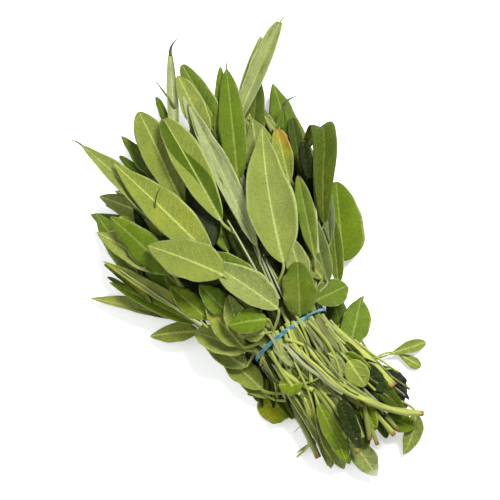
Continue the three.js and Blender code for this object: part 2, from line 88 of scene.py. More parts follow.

# Looks are shares: grey, painted shade (darkened where a leaf or stalk lies in the shade of the
# bunch), warm (yellowed), wilt, blush (a reddened tip), rolled strip and shade (the smooth side
# shows where a pale leaf rolls over, darkened there as painted shade in the fold), whitish (a
# bleached tip) and frost (bleached lines). Beside them, shape is where a blade is widest and how
# sharply it tapers, hair is the length, curl and lift of the dry thread at its tip, and rolled is how
# far its edges curl.

# The outermost leaves: root of the blade, tip, greatest width, form in the solids, and looks.
OUTER = [
    # low on the left
    ((29, 34, 12), (43, 54, 3), 10, dict(fold=8, bow=2), dict(warm=0.5, deep=0)),
    ((36, 34, 14), (77, 67, 3), 11, dict(fold=30, roll=(10, 25)), dict(warm=0.5, grey=0.5, deep=0)),
    ((31, 34, 20), (76, 55, 9), 9, dict(fold=20, pale=False), dict(warm=0.2, deep=0.1)),
    ((32, 32, 24), (85, 52, 15), 10, dict(fold=48), dict(warm=0.8, deep=0)),
    # the furthest tips
    ((92, 4, 22), (135, 7, 14), 12, dict(pale=False, roll=(20, 20)), dict(deep=0.4)),
    ((78, -31, 23), (120, -68, 12), 13, dict(fold=20, pale=False, roll=(-14, -10)),
     dict(grey=0.4, deep=0.65, shape=(1, 0.5))),
    ((109, -9, 25), (157, -39, 16), 6, dict(fold=20),
     dict(grey=1, deep=0, frost=0.15, shape=(0.8, 0.35),
          hair=(12, -5, 2), hair_deep=1, hair_wide=1.9, rolled=0.6)),
    ((100, -33, 25), (148, -40, 17), 12, dict(fold=18, pale=False, roll=(-10, -10)),
     dict(grey=0.5, deep=0, shape=(1.1, 0.5))),
    ((103, -25, 27), (143, -34, 20), 13, dict(fold=18), dict(warm=0.3, deep=0, shape=(0.9, 0.7))),
    ((101, -38, 20), (139, -96, 14), 13, dict(fold=42, bow=2),
     dict(grey=0.45, deep=0, frost=0.2, shape=(1.1, 0.42), hair=(7, -2, 1), hair_deep=0.2)),
    # the left of the fan
    ((57, 30, 24), (99, 46, 13), 15, dict(fold=10, roll=(5, 10)), dict(warm=0.3, deep=0)),
    ((55, 17, 27), (98, 33, 19), 18, dict(fold=10, roll=(6, 8)), dict(warm=0.4, deep=0)),
    ((80, 6, 30), (139, -7, 18), 18, dict(fold=10, bow=3), dict(shape=(1.05, 0.62))),
    ((66, 15, 31), (144, 26, 12), 14, dict(fold=24, roll=(0, 8), bow=3),
     dict(hair=(9, 3, 2), hair_deep=0.8)),
    # the right of the fan
    ((75, -23, 29), (131, -56, 20), 14, dict(fold=12, pale=False, bow=2),
     dict(deep=0.3, hair=(8, -2, 1), hair_deep=0.6, shape=(0.85, 0.65))),
    ((56, -35, 24), (106, -59, 17), 12, dict(fold=12), dict(grey=0.6, deep=0.3, shape=(1.1, 0.45))),
    ((80, -54, 18), (97, -67, 20), 8, dict(fold=30, pale=False),
     dict(deep=0.5, hair=(9, -8, 1), hair_deep=1, hair_wide=2)),
    ((60, -43, 25), (89, -57, 21), 10, dict(fold=20),
     dict(warm=1, blush=0.6, deep=0.1, shape=(1.1, 0.55))),
    ((55, -49, 19), (90, -67, 20), 8, dict(fold=30, pale=False),
     dict(grey=0.5, deep=0.85, shape=(1.3, 0.35))),
    ((40, -45, 18), (73, -64, 15), 9, dict(fold=46, pale=False), dict(deep=1, shape=(1, 0.5))),
    ((26, -43, 16), (68, -67, 16), 10, dict(fold=30, pale=False),
     dict(grey=0.7, deep=0.7, frost=0.2)),
    ((35, -46, 20), (73, -63, 15), 14, dict(fold=30, pale=False, via=((56, -57, 33), (85, -91, 32))),
     dict(grey=0.1, deep=0.75, frost=0, shape=(1.1, 0.4))),
    ((22, -30, 31), (61, -49, 28), 10, dict(fold=24, pale=False),
     dict(grey=0.4, deep=0.1, shape=(1, 0.6))),
    ((10, -29, 24), (42, -42, 24), 11, dict(fold=16, pale=False),
     dict(grey=0.8, deep=0.4, shape=(0.9, 0.5))),
    ((7, -34, 17), (37, -53, 14), 9, dict(fold=30, pale=False),
     dict(grey=0.3, deep=0.4, shape=(1, 0.5))),
    ((17, -45, 9), (54, -69, 5), 25, dict(fold=8, pale=False),
     dict(deep=0.15, grey=0, shape=(0.78, 0.62))),
    # small ones beside the band and just past it
    ((-21, -20, 15), (-4, -40, 9), 15, dict(fold=10, pale=False), dict(shape=(0.9, 0.6))),
    ((-6, -33, 7), (-3, -43, 7), 4, dict(fold=10, pale=False), {}),
    ((-14, -22, 7), (10, -32, 7), 11, dict(fold=10, pale=False), dict(deep=0.6)),
    ((5, -18, 25), (4, -37, 16), 15, dict(pale=False), dict(shape=(0.9, 0.55))),
    ((28, 29, 27), (53, 34, 24), 12, dict(fold=20, pale=False), {}),
    ((24, 20, 30), (43, 23, 31), 12, dict(fold=16, pale=False), {}),
    ((5, 12, 33), (11, 21, 29), 8, dict(), {}),
    ((22, 1, 37), (52, 10, 38), 12, dict(fold=12, pale=False), {}),
    ((14, -17, 33), (38, -26, 33), 12, dict(fold=16), dict(grey=0.4, deep=0.1)),
    # over the middle of the fan
    ((40, -9, 34), (125, -28, 22), 12, dict(fold=30, bow=3),
     dict(grey=0.7, deep=0, warm=0, frost=0.3, shape=(0.85, 0.7))),
    # this leaf has the rolled strip, darkened as painted shade in its fold
    ((61, -3, 36), (125, -13, 26), 18, dict(fold=26, bow=3),
     dict(streak=1.6, grey=0, deep=0, shape=(1.1, 0.55))),
    ((49, 2, 31), (73, -8, 28), 11, dict(fold=14, pale=False),
     dict(deep=0.1, grey=0, shape=(0.8, 0.7))),
    ((48, 11, 37), (122, 20, 24), 19, dict(fold=12, bow=3),
     dict(deep=0, warm=0.3, shape=(0.72, 0.95))),
    ((37, 13, 39), (73, 32, 29), 22, dict(fold=10, roll=(8, 10), bow=3), dict(deep=0.1, grey=0.1)),
    ((10, 1, 39), (47, 14, 41), 17, dict(fold=22, bow=2), dict(deep=0, grey=0.4)),
    ((12, -27, 26), (29, -27, 27), 8, dict(fold=8), {}),
    ((2, -6, 35), (24, -21, 34), 17, dict(fold=16, pale=False, bow=3),
     dict(warm=0.4, deep=0.55, shape=(0.75, 0.55))),
    ((26, -14, 40), (91, -49, 33), 24, dict(fold=16, bow=3, sway=2.6),
     dict(deep=0.1, shape=(0.68, 1))),
    # round the left of the band
    ((6, 22, 21), (29, 37, 17), 17, dict(fold=22, bow=2), dict(deep=0, warm=0.5)),
    ((8, 23, 27), (34, 26, 32), 14, dict(), dict(deep=0, grey=0.1, warm=0.5)),
    ((11, 22, 26), (30, 15, 31), 12, dict(fold=20), dict(deep=0, warm=0.6)),
    ((9, 8, 34), (18, 24, 30), 13, dict(fold=8, pale=False, bow=2), dict(deep=0)),
    ((1, 26, 12), (27, 33, 4), 13, dict(fold=12), dict(deep=0, warm=0.5, shape=(0.85, 0.6))),
    ((-12, 26, 11), (17, 30, 3), 13, dict(fold=12), dict(deep=0, warm=0.3, shape=(0.85, 0.6))),
    ((-17, 25, 9), (4, 29, 3), 11, dict(fold=12), dict(deep=0.1, warm=0.5, shape=(0.8, 0.65))),
    ((-17, 21, 9), (-8, 32, 2), 6, dict(fold=30, pale=False), {}),
    ((-28, 18, 9), (-15, 31, 2), 17, dict(fold=10, pale=False),
     dict(warm=1, deep=0, grey=0, shape=(0.9, 0.5))),
    # among the cut ends
    ((-24, 11, 28), (-17, 20, 23), 11, dict(fold=10, pale=False),
     dict(warm=0.3, deep=0, shape=(0.9, 0.6))),
    ((-28, -12, 30), (-42, -12, 26), 12, dict(), dict(warm=0.3, deep=0, shape=(0.9, 0.6))),
    ((-32, -16, 22), (-50, -20, 17), 11, dict(pale=False), dict(deep=1.2)),
    ((-33, -34, 4), (-39, -54, 3), 7, dict(fold=20), dict(shape=(1.8, 0.6))),
    ((-35, -39, 4), (-47, -45, 2), 6, dict(fold=10), dict(shape=(1.8, 0.6))),
    ((-41, -32, 9), (-57, -26, 4), 10, dict(fold=30, pale=False), dict(wilt=1)),
    ((-57, -14, 12), (-70, -22, 9), 12, dict(fold=20, pale=False), {}),
    ((-64, -27, 10), (-76, -11, 4), 10, dict(fold=24, sway=2), {}),
    ((-36, 11, 28), (-65, 13, 7), 10, dict(fold=30, pale=False, via=((-46, 13, 28), (-57, 14, 20))),
     dict(warm=0.4, deep=0, shape=(0.8, 0.6))),
    ((-41, 3, 29), (-63, 6, 12), 9, dict(fold=24, pale=False, via=((-48, 5, 28), (-56, 6, 24))),
     dict(deep=1.2, shape=(0.8, 0.75))),
    ((-57, 6, 8), (-77, 6, 3), 12, dict(fold=16), dict(grey=0.5, whitish=1, shape=(0.9, 0.7))),
    ((-38, 12, 24), (-65, 16, 3), 12, dict(fold=20, via=((-48, 14, 23), (-58, 16, 13))),
     dict(warm=0.7, deep=0, grey=0.4)),
    ((-53, 16, 11), (-61, 21, 2), 5, dict(fold=20), {}),
    ((-47, 16, 6), (-45, 30, 2), 2, dict(fold=30), {}),
]


# ---- Vectors and draws ----
UP = np.array((0.0, 0.0, 1.0))


def unit(v):
    return v / math.sqrt(v @ v)


def mix(a, b, t):
    return a + (b - a) * t


class Draws:
    """A seeded run of draws between two values, the same as in the solids."""

    def __init__(self, seed):
        self.state = seed

    def between(self, low, high):
        self.state = (self.state * 1664525 + 1013904223) % 2**32
        return low + (high - low) * self.state / 2**32


# ---- The form of the whole bunch, as in the solids ----
def past(x):
    """Distance past the band, eased so that the stems leave it straight."""
    return math.sqrt(x * x + FAN.ease**2) - FAN.ease


def half_width(x):
    widened = FAN.wide * (1 - math.exp(-past(x) / FAN.rate)) if x > 0 else -TAIL_FAN.widens * x
    return BAND.wide / 2 + widened


def middle(x):
    if x <= 0:
        return -TAIL_FAN.swings * x * x
    leaning = FAN.lean * (1 - math.exp(-past(x) / FAN.lean_rate))
    return leaning + FAN.swing * (x / FAN.swing_at) ** 4


def crown(x):
    if x <= 0:
        return ROOF.tie * (1 - (-x / ROOF.fall) ** SLOPE.tail)
    swell = ROOF.tie + ROOF.swell * (1 - math.exp(-x / ROOF.swell_rate))
    return swell * max(LOWEST.crown, 1 - (x / ROOF.end) ** ROOF.power) ** SLOPE.tips


def roof(x, y):
    """Height of the top of the leaves over a point of the surface."""
    s = abs(y - middle(x)) / (half_width(x) + ROOF.edge)
    return crown(x) * math.sqrt(max(LOWEST.side, 1 - s**ROOF.power))


def layer(x, y, level):
    """Height of a layer of leaves that keeps its level through the fan."""
    return LAYER.lowest + level * (roof(x, y) - LAYER.under)


# ---- Stems ----
def planned_stems(draws):
    """Every stem with its place in the tie, before the ways its cut end may stray."""
    stems = []
    for count, share, start in RINGS:
        for k in range(count):
            old = OLD_STEMS.get(len(stems), {})
            turn = math.radians(start + 360 * k / count)
            radius = old.get("radius") or STEM.radius * draws.between(*STEM.varies)
            inside = radius + BAND.thick + GAP
            y = share * (BAND.wide / 2 - inside) * math.cos(turn)
            z = BAND.high / 2 - BAND.sunk + share * (BAND.high / 2 - inside) * math.sin(turn)
            s, level = y / (BAND.wide / 2), z / ROOF.tie
            x = -TAIL.cut - draws.between(-TAIL.spread, TAIL.spread) * (1 - TAIL.even * abs(s))
            cut = (x, y * TAIL.splay + TAIL.lean, level * crown(x) * TAIL.sink + TAIL.rise)
            end = STEM.reach + STEM.extra * (1 - abs(s)) * draws.between(*STEM.ends)
            strays = [
                [draws.between(*span) for span in (STRAY.aside, STRAY.rise, STRAY.bend)]
                for _ in range(STRAY.tries)
            ]
            stem = dict(s=s, level=level, y=y, z=z, radius=radius, cut=cut, end=end, hump=0,
                        bend=BEND.aside, strays=strays)
            stems.append(Sizes(**{**stem, **old}))
    return stems


def stem_point(stem, x):
    if x <= 0:
        t = x / stem.cut[0]
        y = stem.y + (stem.cut[1] - stem.y) * t**stem.bend
        z = stem.z + (stem.cut[2] - stem.z) * t**BEND.down
        return np.array((x, y, z + stem.hump * math.sin(math.pi * t)))
    y = middle(x) + half_width(x) * stem.s
    leafy = 1 - math.exp(-past(x) / STEM.settle)
    return np.array((x, y, stem.level * (ROOF.tie + (roof(x, y) - STEM.under - ROOF.tie) * leafy)))


def strayed(stem, aside, rise, bend):
    x, y, z = stem.cut
    cut = (x, y + aside, max(z + rise, stem.radius))
    return Sizes(**{**vars(stem), "cut": cut, "bend": bend})


def cut_corners(stem):
    """The four corners of a stem's cut end in the solids."""
    x = stem.cut[0]
    along = unit(stem_point(stem, x + 0.5) - stem_point(stem, x - 0.5))
    side = unit(np.cross(UP, along))
    up = np.cross(along, side)
    corners = [(0.5, 0.7), (-0.7, 0.5), (-0.5, -0.7), (0.7, -0.5)]
    points = [stem_point(stem, x) + side * u * stem.radius + up * v * stem.radius for u, v in corners]
    return [np.array((p[0], p[1], max(p[2], 0))) for p in points]


# ---- Leaves, as in the solids ----
def leaf(root, tip, wide, fold=14, roll=(0, 0), bow=0, sway=0, via=None, pale=True):
    root, tip = np.array(root, float), np.array(tip, float)
    side = unit(np.cross(UP, tip - root))
    bend = UP * bow + side * sway
    bends = via or (mix(root, tip, 1 / 3) + bend, mix(root, tip, 2 / 3) + bend)
    bends = [np.array(b, float) for b in bends]
    return Sizes(root=root, tip=tip, bends=bends, wide=wide, fold=fold, roll=roll, pale=pale)


def outline(t):
    return max(0, math.sin(math.pi * t**BLADE.low)) ** BLADE.blunt


def midrib(blade, t):
    s = 1 - t
    a, b = blade.bends
    return blade.root * s**3 + a * 3 * t * s * s + b * 3 * t * t * s + blade.tip * t**3


def blade_corners(blade, t):
    """The corners of a section of a blade in the solids."""
    along = unit(midrib(blade, t + 0.01) - midrib(blade, t - 0.01))
    half_wide = max(blade.wide / 2 * outline(t), BLADE.petiole if t < 0.5 else BLADE.tip)
    turn = math.radians(mix(*blade.roll, t))
    fold = math.radians(blade.fold)
    dx, dy = (blade.tip - blade.root)[:2]
    level = unit(np.array((-dy, dx, 0)))
    plumb = unit(np.cross(along, level))
    flat = np.cross(plumb, along)
    side = flat * math.cos(turn) + plumb * math.sin(turn)
    up = plumb * math.cos(turn) - flat * math.sin(turn)
    co, si = math.cos(fold), math.sin(fold)
    corners = []
    for face in (1, -1):
        for u in (1, 0, -1) if fold else (1, -1):
            normal = up * co - side * u * si if u else up * min(1 / co, BLADE.mitre)
            p = midrib(blade, t) + side * u * half_wide * co + up * abs(u) * half_wide * si
            p[2] = max(p[2], BLADE.thick / 2)
            q = p + normal * face * BLADE.thick / 2
            q[2] = max(q[2], BLADE.least if face > 0 else 0)
            corners.append(q)
    return corners


def lifted(blade, rise):
    lift = UP * rise
    moved = dict(root=blade.root + lift, tip=blade.tip + lift, bends=[b + lift for b in blade.bends])
    return Sizes(**{**vars(blade), **moved})


def feet(blade, stems):
    """The stems near enough to bear a leaf, nearest first, with the foot of its stalk on each."""
    target = blade.root - unit(blade.bends[0] - blade.root) * BLADE.stalk
    found = []
    for sprig, stem in enumerate(stems):
        if blade.root[0] > 0:
            low, high = JOIN.past, stem.end - JOIN.tip
        else:
            low, high = stem.cut[0] + JOIN.cut, JOIN.before
        steps = np.arange(low, high + 1e-9, JOIN.step)
        spots = [stem_point(stem, x) for x in steps]
        if spots:
            foot = min(spots, key=lambda p: (p - target) @ (p - target))
            found.append((math.dist(foot, target), sprig, foot))
    return sorted((f for f in found if f[0] < JOIN.far), key=lambda f: f[0])[: JOIN.most]


def pair_leaf(stem, x, side, flat, drawn, swing, size):
    """One leaf of an opposite pair, or None where it would stick out of the fan."""
    turn, large, higher, twist, pale = drawn
    foot = stem_point(stem, x)
    ahead = stem_point(stem, x + 1) - foot
    heading = math.atan2(ahead[1], ahead[0])
    heading += math.radians(side * (PAIR.flat if flat else PAIR.upright) + turn + swing)
    dx, dy = math.cos(heading), math.sin(heading)
    long = PAIR.long * size * large * (1 - PAIR.shorten * x / PAIR.far_end)
    low, high = PAIR.levels
    level = min(high, max(low, stem.level + (0 if flat else side * PAIR.climb) + higher))

    def at(far):
        px, py = foot[0] + dx * far, foot[1] + dy * far
        return np.array((px, py, layer(px, py, level)))

    root, tip = at(BLADE.stalk), at(BLADE.stalk + long)
    via = at(BLADE.stalk + long / 3), at(BLADE.stalk + 2 * long / 3)
    beside = layer(via[1][0] - PAIR.probe * dy, via[1][1] + PAIR.probe * dx, level)
    slope = (beside - via[1][2]) / PAIR.probe
    tilt = math.degrees(math.atan(slope))
    if abs(tip[1] - middle(tip[0])) >= PAIR.widest * half_width(tip[0]) or tip[0] > PAIR.furthest:
        return None
    wide, roll = long / PAIR.slender, (tilt, tilt + twist)
    return foot, leaf(root, tip, wide, fold=0, roll=roll, via=via, pale=pale < PAIR.pale)


# ---- Which of the places left open by the plan the solids took ----
class Corners:
    """The corners of one solid, to look up whether a planned corner is among them."""

    def __init__(self, node):
        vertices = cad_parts[node].data.vertices
        self.tree = KDTree(len(vertices))
        for k, vertex in enumerate(vertices):
            self.tree.insert(vertex.co, k)
        self.tree.balance()

    def hold(self, points):
        near = [self.tree.find(Vector(p * MM))[2] < MATCH * MM for p in points]
        return 2 * sum(near) > len(near)


def settled_stems(corners):
    stems = planned_stems(DRAWS)
    for sprig, stem in enumerate(stems):
        ways = [stem] + ([] if sprig in OLD_STEMS else [strayed(stem, *way) for way in stem.strays])
        stems[sprig] = next((way for way in ways if corners[sprig].hold(cut_corners(way))), stem)
    return stems


def grows(corners, blade):
    return corners.hold(blade_corners(blade, 1)) and corners.hold(blade_corners(blade, BLADE.widest))


def settled_leaves(stems, corners):
    """Every leaf of the solids: its sprig, the foot of its stalk, its blade and its looks."""
    leaves = []
    for root, tip, wide, form, looks in OUTER:
        blade = leaf(root, tip, wide, **form)
        bearers = feet(blade, stems)
        for lift in LIFTS:
            here = lifted(blade, lift)
            held = [(sprig, foot) for _, sprig, foot in bearers if grows(corners[sprig], here)]
            if held:
                sprig, foot = held[0]
                leaves.append(Sizes(sprig=sprig, foot=foot, blade=here, fine=FINEST, looks=looks))
                break
    for sprig, stem in enumerate(stems):
        x = PAIR.first + DRAWS.between(0, PAIR.sooner)
        k = sprig
        while x < stem.end:
            for side in (-1, 1):
                spans = (PAIR.turn, PAIR.size, PAIR.level, PAIR.twist, (0, 1))
                drawn = [DRAWS.between(*span) for span in spans]
                found = settled_pair_leaf(stem, corners[sprig], x, side, k % 2 == 0, drawn)
                if found:
                    foot, blade = found
                    leaves.append(Sizes(sprig=sprig, foot=foot, blade=blade, fine=FINE, looks={}))
            x += PAIR.step
            k += 1
    return leaves


def settled_pair_leaf(stem, corners, x, side, flat, drawn):
    for size in PAIR.sizes:
        for swing in PAIR.swings:
            made = pair_leaf(stem, x, side, flat, drawn, swing, size)
            for lift in PAIR.lifts if made else []:
                blade = lifted(made[1], lift)
                if grows(corners, blade):
                    return made[0], blade
    return None


# ---- Fine growth that the solids leave out ----
YOUNG = Sizes(
    pairs=[(30, 17, 0.07), (19, 9, 0.02)],  # length, spread in degrees, climb
    size=(0.85, 1.15), slender=4.2, turn=(-8, 8), fold=24, stalk=3, step=3,
    levels=(0.04, 0.72), lowest=0.6, leftmost=40,
)
STRAPS = Sizes(
    count=26, long=(18, 36), wide=(3.5, 6.5), start=(-2, -24), share=(0.86, 1.03), aside=(-6, 6),
    fold=30, roll=(-25, 25), pale=0.6, curl=0.1, wave=0.06,
)
LOOSE = Sizes(
    count=170, start=(0, -24), stop=(-18, -58), radius=(0.25, 0.9), tapers=0.7,
    share=(0.84, 1.08), aside=(-7, 7), points=14,
)
AROUND = (0, 180)  # loose stalks and narrow leaves lie over the top of the tie, in degrees
TIE = Sizes(across=21, middle=17, up=17)  # where those at the tie look for the nearest stem
SPOTS = 4  # the points that shape a midrib: its root, its two bends and its tip
# Strands over the cut ends: from, to, aside, height above the stems at both ends, radii, looks.
STRANDS = [
    # pale leaf stalks just behind the band
    ((3, 9), (-11, 15), 2, (0, 1), (1.3, 1.0), dict(grey=0.5)),
    ((3, 7), (-10, 13), 1, (0, 1.5), (1.1, 0.9), dict(warm=0.3)),
    ((3, 4), (-10, 10), 1.5, (0, 1), (1.2, 0.8), dict(grey=0.3)),
    ((3, 1), (-12, 5), 1, (0, 1.5), (1.2, 0.9), dict(warm=0.2)),
    ((2, -2), (-16, 2), -1, (0, 1), (1.0, 0.8), dict(grey=0.6)),
    ((2, 14), (-3, 20), 0, (0, 1), (0.9, 0.8), dict(warm=1, blush=0.35)),
    ((1, 18), (-21, 23), 2, (0, 1), (0.9, 0.7), dict(warm=0.8)),
    # the stalk of the small leaf, and long ones to the lower cut ends
    ((-3, 15), (-29, 9), -2, (0, 2), (0.9, 1.4), dict(warm=0.9)),
    ((-10, 12), (-34, 13), -1, (1, 1), (0.8, 0.8), dict(grey=0.3)),
    ((-8, 3), (-55, 12), 2, (0, 2), (1.3, 0.9), dict(warm=0.5)),
    ((-12, 6), (-50, 13), 1, (1, 1), (1.0, 0.8), dict(deep=0.2)),
    ((-16, 1), (-47, 9), 2, (0, 2), (1.2, 0.9), dict(grey=0.3, warm=0.4)),
    ((-30, 14), (-52, 17), 1, (1, 2), (1.0, 1.1), dict(warm=0.7)),
    ((-33, 17), (-50, 19), -1, (1, 1), (0.9, 0.9), dict(grey=0.8, warm=0.4)),
    # bright stalks that join the long old stem
    ((-10, 3), (-20, -3), -3, (1, 2), (1.2, 1.3), dict(warm=0.8)),
    ((-12, 1), (-36, -3), 2, (2, 3), (1.5, 1.1), dict(warm=0.9)),
    ((-15, 5), (-46, -6), 1, (1, 3), (1.3, 1.3), dict(warm=0.6)),
    ((-18, 3), (-50, -9), 1, (2, 3.5), (1.5, 1.2), dict(warm=0.5)),
    ((-24, 4), (-50, -7), -1, (1, 2), (1.2, 1.0), dict(grey=0.4, warm=0.4)),
    # grey and dark ones on the right
    ((2, -6), (-27, -5), 1, (0, 1), (1.1, 0.9), dict(grey=0.7, deep=0.4)),
    ((2, -9), (-24, -4), 2, (0, 2), (1.0, 0.8), dict(deep=0.7)),
    ((1, -11), (-32, -4), 1, (0, 2), (1.1, 0.9), dict(grey=0.8)),
    ((-3, -12), (-40, -7), 1, (1, 3), (1.8, 1.5), dict(woody=1)),
    ((-8, -15), (-24, -13), 1, (1, 1), (1.0, 0.8), dict(grey=0.5)),
    ((-2, -17), (-26, -15), -1, (0, 1), (0.9, 0.9), dict(warm=0.4)),
    ((-20, -29), (-47, -29), -1, (1, 1), (0.6, 0.4), dict(grey=1)),
    ((-9, -18), (-49, -24), 1, (0, 3.5), (1.5, 2.2), dict(warm=1, cut=1)),
    ((-12, -20), (-44, -25), 2, (0, 3), (0.7, 0.6), dict(grey=0.9, frost=0.5)),
    ((-20, -6), (-46, -15), 1, (4, 4), (0.5, 0.6), dict(warm=0.6)),
    ((-18, -10), (-44, -18), -1, (4, 4), (0.4, 0.5), dict(deep=0.8)),
    ((-14, 9), (-40, 15), 1, (4, 3), (0.6, 0.5), dict(warm=0.5)),
    # two arched ones, and some at the left end of the band
    ((-21, 11), (-31, 1), 13, (1, 3), (0.9, 0.9), dict(warm=0.5)),
    ((-16, 13), (-24, 3), 12, (1, 3), (0.8, 0.8), dict(grey=0.4, warm=0.4)),
    ((-3, 17), (-20, 18), 1, (0, 1), (0.9, 0.7), dict(grey=1, frost=0.6)),
    ((-3, 14), (-27, 15), -1, (2, 3), (1.0, 0.9), dict(warm=0.8)),
    # crossing stalks that hide where the long old stem comes out
    ((1, -2), (-26, 8), 2, (1, 5), (1.1, 0.9), dict(warm=0.4)),
    ((2, -5), (-30, 3), 3, (1, 5), (0.9, 0.8), dict(grey=0.5)),
    ((0, 2), (-23, 1), -3, (1, 5), (1.0, 0.9), dict(warm=0.8)),
    ((-2, -8), (-34, -4), 3, (1, 5), (1.1, 0.8), dict(deep=0.2)),
    ((-3, 6), (-25, -3), 2, (2, 5), (0.8, 0.7), dict(warm=0.9)),
    ((-8, 8), (-27, 2), -2, (3, 4.5), (0.6, 0.6), dict(grey=0.9, frost=0.4)),
    # two thin strands dark all over, painted shade in the gaps between the stalks
    ((-2, -1), (-24, 4), 1, (4, 5.5), (0.3, 0.3), dict(deep=1)),
    ((-4, -5), (-30, 0), 2, (4, 5.5), (0.3, 0.3), dict(deep=1)),
    # stalks below the dark leaf, which carry it
    ((-36, 3), (-59, 6), 1, (3, 6), (1.3, 1.0), dict(deep=0.5)),
    ((-37, 0), (-60, 3), 1, (2, 5), (1.2, 1.1), dict(grey=0.4, deep=0.2)),
    ((-37, 6), (-56, 9), -1, (3, 5), (1.1, 0.9), dict(warm=0.5)),
    # two that pass over the band
    ((8, 11), (-10, 13), 1, (2.5, 1.5), (0.6, 0.8), dict(grey=0.9, deep=0.1)),
    ((9, -5), (-13, -1), 1, (2.5, 1), (0.6, 0.8), dict(warm=0.4, deep=0.2)),
    # short branches at the far cut ends
    ((-48, -7), (-62, 0), 0, (2, 0), (1.4, 1.5), dict(woody=0.5, cut=1)),
    ((-52, -5), (-66, -2), 0, (1, -1), (1.0, 1.2), dict(woody=0.3, cut=1)),
    ((-52, -9), (-67, -11), 0, (1, 0), (1.2, 1.3), dict(warm=0.3, cut=1)),
    ((-50, -12), (-66, -14), 0, (0, -1), (1.0, 1.1), dict(deep=0.3, cut=1)),
    ((-46, 17), (-47, 31), 0, (0, 1), (0.8, 0.5), dict(warm=0.9)),
    # a thin one dark all over, painted shade in a gap
    ((-37, 19), (-37, 25), 0, (0, 1), (0.25, 0.12), dict(deep=1)),
]
# Stalks beside the two old stems: which, from, to, aside and above at both ends, radii, looks.
BESIDE = [
    (3, (-6, -44), (5, 1.8), (0, 0.2), (0.8, 1.0), dict(grey=0.8, deep=0.1)),
    (3, (-12, -49), (3, 0.9), (0.2, 0.9), (0.6, 0.8), dict(warm=0.9)),
    (3, (-16, -52), (-3, -1.5), (0, 0.3), (0.7, 0.8), dict(grey=0.3, deep=0.35)),
    (3, (-3, -38), (8, 3), (-1, -0.4), (0.9, 0.9), dict(grey=1, frost=0.4)),
    # thin ones dark all over, painted shade in the gaps beside the old stem
    (3, (-20, -44), (1, 0.3), (0.8, 1.5), (0.3, 0.35), dict(deep=1)),
    (3, (-10, -36), (-1, -0.6), (0.8, 1.4), (0.3, 0.3), dict(deep=1)),
    (3, (-26, -58), (-0.9, -1.0), (1.2, 0.8), (0.4, 0.3), dict(deep=0.8)),
    (6, (-1, -42), (2.4, 1.5), (0, 0.3), (0.7, 0.9), dict(warm=1)),
    (6, (-6, -47), (-2.2, -1.4), (0, 0.1), (0.6, 0.7), dict(grey=1, frost=0.6)),
    # a thin one dark all over, painted shade in a gap
    (6, (-10, -40), (0.6, 0.4), (0.9, 1.6), (0.3, 0.3), dict(deep=1)),
    (6, (-2, -30), (4.5, 3), (-0.5, -0.3), (0.8, 0.7), dict(woody=1)),
]
# Strands between the leaves of the fan: three points, radii and looks.
FAN_STRANDS = [
    (((67, -21, 28), (48, -10, 37), (14, -3, 35)), (0.35, 0.6), dict(grey=1, frost=0.5)),
    (((64, -20, 27), (47, -11, 38), (14, -5, 35)), (0.3, 0.5), dict(grey=1, frost=0.7)),
    (((66, -18, 27), (49, -9, 37), (15, -2, 34)), (0.3, 0.6), dict(grey=0.8, frost=0.3)),
    (((70, -17, 27), (52, -12, 36), (15, -7, 34)), (0.3, 0.6), dict(grey=0.8)),
    (((95, -34, 27), (80, -27, 29), (62, -19, 32)), (0.5, 0.9), dict(grey=1, frost=0.7)),
    (((92, -34, 28), (76, -27, 30), (58, -18, 32)), (0.4, 0.8), dict(grey=1, frost=0.7)),
    (((65, -61, 24), (51, -52, 27), (24, -34, 24)), (0.4, 0.7), dict(grey=1, frost=0.3)),
    (((147, -23, 20), (139, -23, 22), (128, -22, 22)), (0.2, 0.8), dict(deep=0.9)),
    (((60, -6, 36), (44, -4, 38), (18, 0, 36)), (0.4, 0.6), dict(grey=0.8, frost=0.4)),
    (((75, 48, 18), (51, 41, 23), (27, 33, 27)), (0.4, 0.8), dict(grey=0.5, frost=0.5)),
    (((72, 44, 17), (48, 38, 22), (24, 31, 27)), (0.3, 0.6), dict(warm=0.6)),
    # thin ones dark all over, painted shade in gaps between the leaves
    (((45, 9, 40), (41, 9, 41), (33, 6, 41)), (0.15, 0.4), dict(deep=1)),
    (((94, 10, 32), (91, 15, 34.5), (87, 18, 32)), (0.15, 0.35), dict(deep=1.3)),
]
# Stalks below the dark leaf at the cut ends: three points, radii and looks.
PROPS = [
    (((-30, 2, 26), (-48, 2, 36), (-58, 4, 18)), (1.2, 1.0), dict(deep=0.5)),
    (((-31, 4, 26), (-49, 4, 37), (-59, 6, 17)), (1.2, 1.0), dict(grey=0.5, deep=0.4)),
    (((-30, 6, 26), (-49, 6, 36), (-58, 8, 17)), (1.1, 1.0), dict(warm=0.5)),
    (((-29, 8, 26), (-48, 9, 34), (-57, 9, 15)), (1.2, 1.0), dict(deep=0.5)),
    (((-31, 3, 23), (-48, 3, 31), (-60, 5, 13)), (1.4, 1.2), dict(grey=0.4)),
    (((-31, 7, 23), (-48, 7, 31), (-60, 9, 12)), (1.4, 1.2), dict(warm=0.3)),
]
